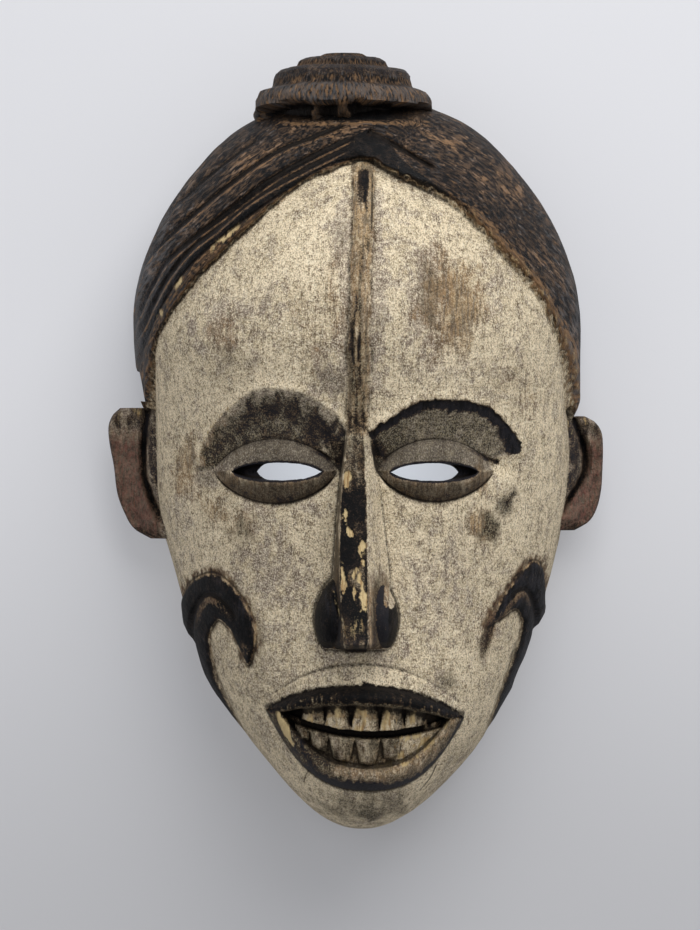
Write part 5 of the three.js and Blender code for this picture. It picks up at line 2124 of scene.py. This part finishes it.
@dataclass(frozen=True)
class PaintedWood:
    """Old paint on wood: a granular pale ground, rubbed grey and brown, and black on the raised forms, with
    painted shade, highlights and sheen.
    """

    cream: Colour = srgb(232, 214, 182)
    cream_dull: Colour = srgb(200, 183, 150)
    speck: Colour = srgb(98, 84, 64)
    soot: Colour = srgb(38, 35, 31)
    salt: Colour = srgb(158, 146, 120)
    violet: Colour = srgb(146, 132, 123)
    brown: Colour = srgb(96, 74, 52)
    ochre: Colour = srgb(170, 134, 86)
    black: Colour = srgb(7, 7, 8)
    worn_black: Colour = srgb(44, 35, 29)
    hair: Colour = srgb(80, 64, 51)
    hair_dark: Colour = srgb(19, 18, 19)
    scratch: Colour = srgb(142, 110, 79)
    ash_and_sheen: Colour = srgb(112, 111, 112)
    bare: Colour = srgb(206, 184, 138)
    red: Colour = srgb(112, 72, 64)
    red_dark: Colour = srgb(58, 46, 42)
    under_light: Colour = srgb(124, 98, 72)
    under_dark: Colour = srgb(62, 48, 38)
    # Bluish grey of the painted sheen on black paint.
    black_sheen: Colour = srgb(43, 42, 47)
    bare_dark: Colour = srgb(150, 118, 78)
    dent: Colour = srgb(34, 29, 25)
    flake: Colour = srgb(246, 233, 204)
    thread: Colour = srgb(84, 68, 52)
    dust: Colour = srgb(250, 238, 212)
    depth: float = 1.15

    def make(self) -> bpy.types.Material:
        """Builds the material: each coat is blended over the last with its own broken edge.

        Returns:
            The material.
        """
        desk = Desk("painted_wood")
        grit = desk.noise(2.0, 4.0, 0.68)
        fine = desk.noise(0.6, 2.0, 0.6)
        streak = desk.noise(1.2, 3.0, 0.6, (1.0, 9.0, 4.0))
        patch = desk.noise(6.0, 5.0, 0.66)
        flow = desk.flow(1.1, 4.0, 3.0)
        crumbs = desk.times(fine, 0.5, desk.times(grit, 0.5))
        colour = self.ground(desk, crumbs, streak, patch)
        hair = self.hair_colour(desk, flow, patch)
        on_hair = desk.ragged(Coat.HAIR, grit, 2.4, 2.0)
        colour = desk.mix(on_hair, colour, hair)
        red = desk.mix(desk.ramp(flow, 0.35, 0.65), self.red, self.red_dark)
        colour = desk.mix(desk.times(Coat.RED, 0.85), colour, red)
        black, colour = self.black_coat(desk, colour, crumbs, streak, patch)
        bare = desk.ragged(Coat.BARE_AND_HIGHLIGHT, desk.times(streak, 0.5, desk.times(crumbs, 0.5)), 4.6, 1.8)
        colour = desk.mix(bare, colour, desk.mix(desk.ramp(streak, 0.45, 0.75), self.bare, self.bare_dark))
        # Hollows are darkened by dirt and painted shade.
        dent = desk.ramp(desk.times(crumbs, 1.0, Coat.DIRT_AND_SHADE), 0.62, 1.5, 0.85)
        colour = desk.mix(dent, colour, self.dent)
        rough = desk.sum("SUBTRACT", 0.9, desk.times(black, 0.22))
        rough = desk.sum("SUBTRACT", rough, desk.times(on_hair, 0.22), clamp=True)
        relief = desk.times(grit, 1.0, desk.times(fine, 0.35))
        calm = desk.times(desk.sum("MAXIMUM", black, on_hair), -0.45, 1.0)
        relief = desk.times(desk.times(flow, on_hair), 1.1, desk.times(relief, calm))
        relief = desk.times(bare, -0.25, relief)
        return desk.finish(colour, rough, relief, self.depth)

    def black_coat(
        self, desk: Desk, colour: object, crumbs: object, streak: object, patch: object
    ) -> tuple[bpy.types.NodeSocket, bpy.types.NodeSocket]:
        """Black paint over what is there: brown shows where it is thin, and a bluish painted sheen lies on it
        in places.

        Args:
            desk: where the nodes are made.
            colour: colour of what is there.
            crumbs: granular noise.
            streak: noise drawn out along the grain.
            patch: broad noise.

        Returns:
            Share of the black, and the colour with it.
        """
        under = desk.ramp(Coat.BLACK, 0.3, 0.8, 0.85)
        wood = desk.mix(desk.ramp(crumbs, 0.42, 0.58), self.under_light, self.under_dark)
        colour = desk.mix(under, colour, wood)
        worn = desk.times(Coat.HAIR, -0.26, 0.34)
        worn = desk.times(Coat.CREST, worn)
        black = desk.ragged(desk.sum("SUBTRACT", Coat.BLACK, worn), crumbs, 3.4, 2.0)
        tone = desk.mix(desk.ramp(desk.times(patch, 0.5, crumbs), 0.74, 0.9), self.black, self.worn_black)
        # Painted sheen: bluish grey on the black where the violet coat lies.
        blue = desk.ragged(Coat.VIOLET_AND_SHEEN, desk.times(streak, 0.6, desk.times(patch, 0.4)), 4.0, 1.4)
        tone = desk.mix(desk.times(blue, 0.6), tone, self.black_sheen)
        return black, desk.mix(black, colour, tone)

    def ground(self, desk: Desk, crumbs: object, streak: object, patch: object) -> bpy.types.NodeSocket:
        """The pale ground with its grains and specks, and the grey, brown and sooty rubs in it.

        Args:
            desk: where the nodes are made.
            crumbs: granular noise.
            streak: noise drawn out along the grain.
            patch: broad noise.

        Returns:
            The colour.
        """
        broad = desk.noise(26.0, 3.0, 0.6)
        flake = desk.noise(3.6, 5.0, 0.7, (1.0, 1.7, 1.6))
        worn = desk.times(broad, 0.5, desk.times(patch, 0.5))
        colour = desk.mix(desk.ramp(worn, 0.38, 0.62), self.cream, self.cream_dull)
        bitten = desk.times(flake, 0.7, desk.times(crumbs, 0.3))
        rubbed = desk.ragged(desk.ramp(worn, 0.44, 0.6, 0.66), bitten, 6.0, 1.8)
        colour = desk.mix(desk.times(rubbed, 0.5), colour, self.violet)
        violet = desk.ragged(Coat.VIOLET_AND_SHEEN, bitten, 6.0, 1.3)
        colour = desk.mix(desk.times(violet, 0.7), colour, self.violet)
        wood = desk.mix(desk.ramp(streak, 0.4, 0.6), self.ochre, self.brown)
        edge = desk.times(streak, 0.4, desk.times(bitten, 0.6))
        brown = desk.ragged(Coat.BROWN, edge, 6.0, 1.3)
        colour = desk.mix(desk.times(brown, 0.75), colour, wood)
        colour = desk.mix(desk.ramp(streak, 0.54, 0.7, 0.42), colour, self.speck)
        crest = desk.ramp(Coat.CREST, 0.25, 1.0, 0.4)
        colour = desk.mix(crest, colour, self.cream)
        dirt = desk.times(Coat.BROWN, 0.7, Coat.GRIME_AND_SHADE)
        clean = desk.times(dirt, -0.8, 1.0, clamp=True)
        flecked = desk.times(Coat.SMOOTH, -0.75, 1.0)
        specks = desk.times(desk.ramp(crumbs, 0.53, 0.61, 0.74), flecked)
        colour = desk.mix(specks, colour, self.speck)
        light = desk.times(desk.ramp(crumbs, 0.48, 0.4, 0.8), clean)
        colour = desk.mix(light, colour, self.flake)
        colour = desk.mix(self.threads(desk, patch), colour, self.thread)
        colour = desk.mix(desk.ramp(Coat.GRIME_AND_SHADE, 0.0, 1.0, 0.72), colour, self.soot)
        level = desk.times(Coat.GRIME_AND_SHADE, -0.36, 0.66)
        soot = desk.ramp(crumbs, level, desk.sum("ADD", level, 0.16))
        soot = desk.times(soot, desk.ramp(Coat.GRIME_AND_SHADE, 0.0, 0.55, 0.85))
        colour = desk.mix(desk.times(soot, flecked), colour, self.soot)
        dust = desk.noise(0.5, 1.0, 0.6, (1.0, 1.6, 1.4))
        pepper = desk.times(desk.ramp(dust, 0.54, 0.62, 0.46), flecked)
        colour = desk.mix(pepper, colour, self.speck)
        light = desk.times(desk.ramp(dust, 0.46, 0.38, 0.5), clean)
        colour = desk.mix(light, colour, self.dust)
        salt = desk.ramp(desk.noise(0.55, 1.0, 0.6, (1.0, 1.6, 1.4)), 0.52, 0.62, 0.8)
        salt = desk.times(salt, desk.ramp(Coat.GRIME_AND_SHADE, 0.2, 0.7))
        return desk.mix(desk.times(salt, flecked), colour, self.salt)

    def threads(self, desk: Desk, patch: object) -> bpy.types.NodeSocket:
        """Fine winding lines where the paint has cracked: the places where a random field is close to 0.5.

        Args:
            desk: where the nodes are made.
            patch: broad noise that keeps them to some places.

        Returns:
            Share of the lines.
        """
        field_value = desk.noise(3.0, 2.0, 0.6, (1.0, 2.4, 2.0))
        gap = desk.sum("ABSOLUTE", desk.sum("SUBTRACT", field_value, 0.5))
        line = desk.ramp(gap, 0.024, 0.004)
        return desk.times(line, desk.ramp(patch, 0.46, 0.6, 0.75))

    def hair_colour(self, desk: Desk, flow: object, patch: object) -> bpy.types.NodeSocket:
        """Dark brown wood with black shadows, thin orange scratches, and an ashy grey that is partly dust and
        partly a painted sheen.

        Args:
            desk: where the nodes are made.
            flow: noise drawn out along the strands.
            patch: broad noise.

        Returns:
            The colour.
        """
        thin = desk.flow(1.3, 5.0, 3.6)
        colour = desk.mix(desk.ramp(flow, 0.44, 0.56), self.hair_dark, self.hair)
        broad = desk.noise(17.0, 2.0, 0.5)
        colour = desk.mix(desk.ramp(broad, 0.62, 0.4, 0.6), colour, self.hair_dark)
        thick = desk.times(broad, 0.5, desk.times(patch, 0.4, thin))
        colour = desk.mix(desk.ramp(thick, 1.03, 1.15, 0.85), colour, self.scratch)
        brown = desk.ragged(Coat.BROWN, flow, 4.2, 1.4)
        wood = desk.mix(desk.ramp(thin, 0.4, 0.6), self.scratch, self.brown)
        colour = desk.mix(desk.times(brown, 0.8), colour, wood)
        # Ashy grey on the hair's flanks: partly dust, partly a painted sheen.
        ash_and_sheen = desk.ragged(Coat.VIOLET_AND_SHEEN, thin, 4.6, 1.3)
        colour = desk.mix(desk.times(ash_and_sheen, 0.55), colour, self.ash_and_sheen)
        soot = desk.times(desk.ramp(thin, 0.36, 0.6), Coat.GRIME_AND_SHADE)
        return desk.mix(soot, colour, self.hair_dark)


@dataclass(frozen=True)
class GougedWood:
    """Bare wood inside the mask, gouged and darkened by age and handling."""

    light: Colour = srgb(128, 96, 66)
    dark: Colour = srgb(70, 50, 36)
    smoke: Colour = srgb(46, 36, 30)

    def make(self) -> bpy.types.Material:
        """Builds the material: long grain, blotches of old sweat and smoke, fine grooves.

        Returns:
            The material.
        """
        desk = Desk("gouged_wood")
        grain = desk.noise(1.4, 5.0, 0.6, (1.0, 14.0, 3.0))
        blotch = desk.noise(26.0, 3.0, 0.6)
        colour = desk.mix(desk.ramp(grain, 0.3, 0.7), self.light, self.dark)
        colour = desk.mix(desk.ramp(blotch, 0.35, 0.7, 0.7), colour, self.smoke)
        return desk.finish(colour, 0.72, grain, 0.3)


@dataclass(frozen=True)
class FloorFinish:
    """Pale paper under the mask that glows a little by itself, a painted light, less so under the chin."""

    shade: Colour = srgb(182, 182, 184)
    glow: Colour = srgb(246, 248, 255)
    glow_low: float = 0.1
    glow_high: float = 0.28
    glow_from: float = -240.0
    glow_to: float = 60.0
    roughness: float = 0.9
    tooth: float = 0.02

    def make(self) -> bpy.types.Material:
        """Builds the material with a barely visible tooth, and a glow that grows towards the crown.

        Returns:
            The material.
        """
        desk = Desk("pale_paper")
        made = desk.finish(self.shade, self.roughness, desk.noise(0.6, 2.0, 0.5), self.tooth)
        up = desk.node("ShaderNodeSeparateXYZ")
        desk.feed(up.inputs[0], desk.place)
        glow = desk.ramp(
            up.outputs["Y"], self.glow_from * MM, self.glow_to * MM, self.glow_high - self.glow_low
        )
        shader = next(node for node in desk.tree.nodes if node.type == "BSDF_PRINCIPLED")
        # Painted light: the paper's own glow lightens the shade round the mask and fades towards the chin.
        desk.feed(shader.inputs["Emission Color"], self.glow)
        desk.feed(shader.inputs["Emission Strength"], desk.sum("ADD", glow, self.glow_low))
        return made


@dataclass(frozen=True)
class Lamp:
    """Square soft lamp: its place, what it faces and its side in millimetres, its power in watts."""

    name: str
    at: Size
    to: Size
    size: float
    power: float
    tint: Size = (1.0, 1.0, 1.0)

    def build(self) -> None:
        """Adds the lamp to the scene, unseen by the camera."""
        data = bpy.data.lights.new(self.name, "AREA")
        data.shape = "SQUARE"
        data.size = self.size * MM
        data.energy = self.power
        data.color = self.tint
        made = bpy.data.objects.new(self.name, data)
        made.location = Vector(self.at) * MM
        made.rotation_euler = (Vector(self.to) - Vector(self.at)).to_track_quat("-Z", "Y").to_euler()
        made.visible_camera = False
        bpy.context.scene.collection.objects.link(made)


@dataclass(frozen=True)
class Studio:
    """Floor, soft lights and the camera straight over the face."""

    eye_x: float = -2.54
    eye_y: float = -8.7
    eye_height: float = 1160.0
    sharp_plane: float = 60.0
    seen_tall: float = 393.9
    sensor: float = 36.0
    floor_size: float = 6000.0
    sky: Colour = srgb(230, 231, 235)
    sky_strength: float = 0.44
    lamps: tuple[Lamp, ...] = (
        Lamp("key", (300.0, 880.0, 820.0), (0.0, 0.0, 60.0), 1000.0, 12.4),
        Lamp("right", (900.0, 0.0, 1000.0), (0.0, 0.0, 60.0), 1100.0, 1.8),
        Lamp("left", (-900.0, 450.0, 900.0), (-60.0, 40.0, 30.0), 1100.0, 3.2),
        Lamp("under_eyes", (1.0, -2.0, 74.0), (1.0, -8.0, 0.0), 70.0, 0.066, (0.84, 0.92, 1.0)),
    )

    def camera(self) -> bpy.types.Object:
        """Camera that looks straight down, with the crown at the top of the frame.

        Its lens is sensor times distance over the height that it sees at that distance.

        Returns:
            The camera.
        """
        data = bpy.data.cameras.new("camera")
        data.sensor_fit = "VERTICAL"
        data.sensor_height = self.sensor
        data.sensor_width = self.sensor
        data.lens = self.sensor * (self.eye_height - self.sharp_plane) / self.seen_tall
        data.clip_end = 20.0
        camera = bpy.data.objects.new("camera", data)
        camera.location = Vector((self.eye_x, self.eye_y, self.eye_height)) * MM
        bpy.context.scene.collection.objects.link(camera)
        bpy.context.scene.camera = camera
        return camera

    def floor(self) -> bpy.types.Object:
        """Flat floor under the mask."""
        half = self.floor_size / 2.0 * MM
        mesh = bpy.data.meshes.new("floor")
        mesh.from_pydata(
            [(-half, -half, 0), (half, -half, 0), (half, half, 0), (-half, half, 0)], [], [(0, 1, 2, 3)]
        )
        mesh.materials.append(FloorFinish().make())
        made = bpy.data.objects.new("floor", mesh)
        bpy.context.scene.collection.objects.link(made)
        return made

    def build(self) -> None:
        """Makes camera, floor, lamps and the pale surroundings."""
        self.camera()
        self.floor()
        for lamp in self.lamps:
            lamp.build()
        world = bpy.data.worlds.new("surroundings")
        world.use_nodes = True
        sky = world.node_tree.nodes["Background"]
        sky.inputs["Color"].default_value = self.sky
        sky.inputs["Strength"].default_value = self.sky_strength
        bpy.context.scene.world = world
        bpy.context.scene.view_settings.view_transform = "Standard"


LEFT_EYE = Eye(
    x=-33.4, y=-11.6, half=25.8, up=13.0, down=13.2, band=0.0,
    brow=CarvedLine((
        (-66, -11), (-64.4, -2), (-57.3, 9.4), (-42.4, 20.8), (-30.1, 21.6), (-18.3, 18.5), (-6.6, 9.5),
        (-2.4, 3),
    )),
    crease=CarvedLine((
        (-68, -11.6), (-58.6, -9.4), (-50.7, -4.2), (-40.6, 0.7), (-32.7, 1.1), (-24.9, -0.2), (-15.1, -4.2),
        (-8.2, -8),
    )),
    slit=Slit(x=-32.3, y=-12.0, half=18.4, through=(-27.6, 13.6)),
)
RIGHT_EYE = Eye(
    x=32.8, y=-11.4, half=24.4, up=12.8, down=12.6, band=4.6,
    brow=CarvedLine((
        (3.4, 3.5), (12.4, 9.1), (23.4, 16), (34, 17.6), (47.2, 16.8), (57.9, 12.4), (67.3, 2.1),
        (69.2, -4.6),
    )),
    crease=CarvedLine(((9.7, -7.9), (17.8, -2.2), (30, 1.1), (42.4, -0.9), (53.5, -6.2), (60, -8.4))),
    slit=Slit(x=31.9, y=-12.2, half=18.0, through=(28.3, 14.2)),
)
LEFT_SCAR = CheekScar(
    outline=CarvedLine((
        (-80, -81), (-75.8, -74), (-74.8, -66), (-70, -59), (-61.7, -54.9), (-54.3, -57.4), (-45.5, -67.7),
        (-41.7, -79), (-43.6, -90), (-45.4, -92.4), (-48, -88.4), (-51.7, -79.9), (-57.6, -74.3),
        (-61.8, -79.3), (-62.4, -86), (-60.3, -100.7), (-54.9, -114), (-49.4, -129), (-56, -131),
        (-70, -114), (-84, -94),
    ), 120, True),
    crease=CarvedLine((
        (-49.6, -75), (-53.2, -68.8), (-57.7, -65), (-61.8, -63.8), (-66, -66.2), (-69, -72), (-70.4, -82),
        (-67.5, -95), (-61, -110),
    )),
    rubbed=0.38,
)
RIGHT_SCAR = CheekScar(
    outline=CarvedLine((
        (54.4, -76.4), (59.8, -67.5), (66.7, -58.2), (74.6, -50.3), (79.8, -53), (81.4, -60), (82.2, -68),
        (87, -80), (80, -108), (64.5, -124), (59, -126.5), (60.6, -115), (63.2, -106.4), (68.3, -91),
        (71.5, -79), (70.4, -73), (67.4, -70), (62, -73),
    ), 120, True),
    crease=CarvedLine((
        (68, -106), (74.5, -92), (77.2, -79), (76.4, -70), (74.4, -64.4), (71.2, -61.6), (67.4, -62.8),
        (63.6, -66.6), (59, -72.4),
    )),
    rubbed=0.7, worn=(57.0, -74.0, 9.0), sheen=0.9,
)
RIGHT_EAR_EDGE = (
    (0.0, 100.5), (0.06, 105), (0.16, 107.8), (0.3, 108.5), (0.5, 108.3), (0.7, 107.6), (0.85, 105.4),
    (0.94, 102), (1.0, 96),
)
CRACKS = (
    Crack(CarvedLine(((34, -134), (31, -141), (26, -147)), 10), 0.5, 0.5),
    Crack(CarvedLine(((-18, -133), (-21, -139), (-22, -143)), 6), 0.4, 0.5),
    Crack(CarvedLine(((6.6, 112), (6.4, 98), (6.2, 84)), 8), 0.8, 0.6),
)


@dataclass(frozen=True)
class Mask:
    """The whole mask: the carved dome, with ears and knot joined on and hollow and eye slits cut away."""

    shell: HeadShell = HeadShell()
    grain: Grain = Grain(11)
    max_angle: float = 50.0

    def build(self, finishes: Sequence[bpy.types.Material]) -> bpy.types.Object:
        """Builds the solids, joins and cuts them, and sets the result in the frame's place.

        Args:
            finishes: materials in the order of Source.

        Returns:
            The finished piece.
        """
        parts = (
            HairCap(), ForeheadRidge(), Nose(), LEFT_EYE, RIGHT_EYE, Mouth(),
            LEFT_SCAR, RIGHT_SCAR, FacePaint(),
        )
        dome = CarvedDome(self.shell).build(parts, CRACKS, self.grain).to_object(finishes)
        for operation, solids in (
            ("UNION", (
                Ear(-1, 0.0, trench_bow=1.8).build("left_ear", self.grain),
                Ear(
                    1, -3.6, edge=RIGHT_EAR_EDGE, trench_x=94.2, trench_bow=6.8
                ).build("right_ear", self.grain),
                HairKnot().build("knot", self.grain),
            )),
            ("DIFFERENCE", (
                SlitHole(LEFT_EYE.slit).build("left_slit", self.grain),
                SlitHole(RIGHT_EYE.slit).build("right_slit", self.grain),
                Hollow(self.shell).build(self.grain),
            )),
        ):
            for solid in solids:
                self.combine(dome, solid.to_object(finishes), operation)
        dome.name = "carved_mask"
        dome.data.name = "carved_mask"
        self.mend_seams(dome.data)
        self.settle(dome)
        log.info("%s: %d triangles", dome.name, sum(len(p.vertices) - 2 for p in dome.data.polygons))
        return dome

    def combine(self, body: bpy.types.Object, other: bpy.types.Object, operation: str) -> None:
        """Joins or cuts with another solid and keeps the result as the body's own mesh.

        Args:
            body: the object that is changed.
            other: the solid that is used up.
            operation: UNION or DIFFERENCE.
        """
        step = body.modifiers.new("join", "BOOLEAN")
        step.operation = operation
        step.object = other
        step.solver = "MANIFOLD"
        step.material_mode = "TRANSFER"
        made = bpy.data.meshes.new_from_object(body.evaluated_get(bpy.context.evaluated_depsgraph_get()))
        body.modifiers.clear()
        old = body.data
        body.data = made
        bpy.data.meshes.remove(old)
        bpy.data.objects.remove(other)

    def mend_seams(self, mesh: bpy.types.Mesh) -> None:
        """Gives each new point on a seam between solids the mean coats of its neighbours.

        Args:
            mesh: the joined mesh; a point that is new has no mark.
        """
        count = len(mesh.vertices)
        ends = np.empty(len(mesh.edges) * 2, np.int32)
        mesh.edges.foreach_get("vertices", ends)
        ends = ends.reshape(-1, 2)
        ends = np.concatenate([ends, ends[:, ::-1]])
        known = np.empty(count, np.float32)
        mesh.attributes[OWN].data.foreach_get("value", known)
        for _ in range(3):
            used = ends[(known[ends[:, 0]] < 1.0) & (known[ends[:, 1]] == 1.0)]
            weight = np.bincount(used[:, 0], minlength=count)
            fresh = weight > 0
            for coat in Coat:
                share = np.empty(count, np.float32)
                layer = mesh.attributes[coat.value].data
                layer.foreach_get("value", share)
                total = np.bincount(used[:, 0], weights=share[used[:, 1]], minlength=count)
                share[fresh] = total[fresh] / weight[fresh]
                layer.foreach_set("value", share)
            known[fresh] = 1.0
        mesh.attributes.remove(mesh.attributes[OWN])

    def settle(self, body: bpy.types.Object) -> None:
        """Lays the mesh's rim on the floor and its crown at the frame's box, and shades it smooth.

        Args:
            body: the finished body.
        """
        mesh = body.data
        points = np.empty(len(mesh.vertices) * 3, np.float32)
        mesh.vertices.foreach_get("co", points)
        points = points.reshape(-1, 3)
        low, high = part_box(CAD_NODE)
        points[:, 1] += high[1] - points[:, 1].max()
        points[:, 2] += low[2] - points[:, 2].min()
        mesh.vertices.foreach_set("co", points.ravel())
        mesh.shade_smooth()
        mesh.set_sharp_from_angle(angle=math.radians(self.max_angle))
        mesh.update()


def main() -> None:
    """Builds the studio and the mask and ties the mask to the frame."""
    logging.basicConfig(level=logging.INFO, format="%(name)s: %(message)s")
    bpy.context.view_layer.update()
    Studio().build()
    finishes = (PaintedWood().make(), GougedWood().make())
    mask = Mask().build(finishes)
    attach(mask, BODY)
    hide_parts(CAD_NODE)


if __name__ == "__main__":
    main()
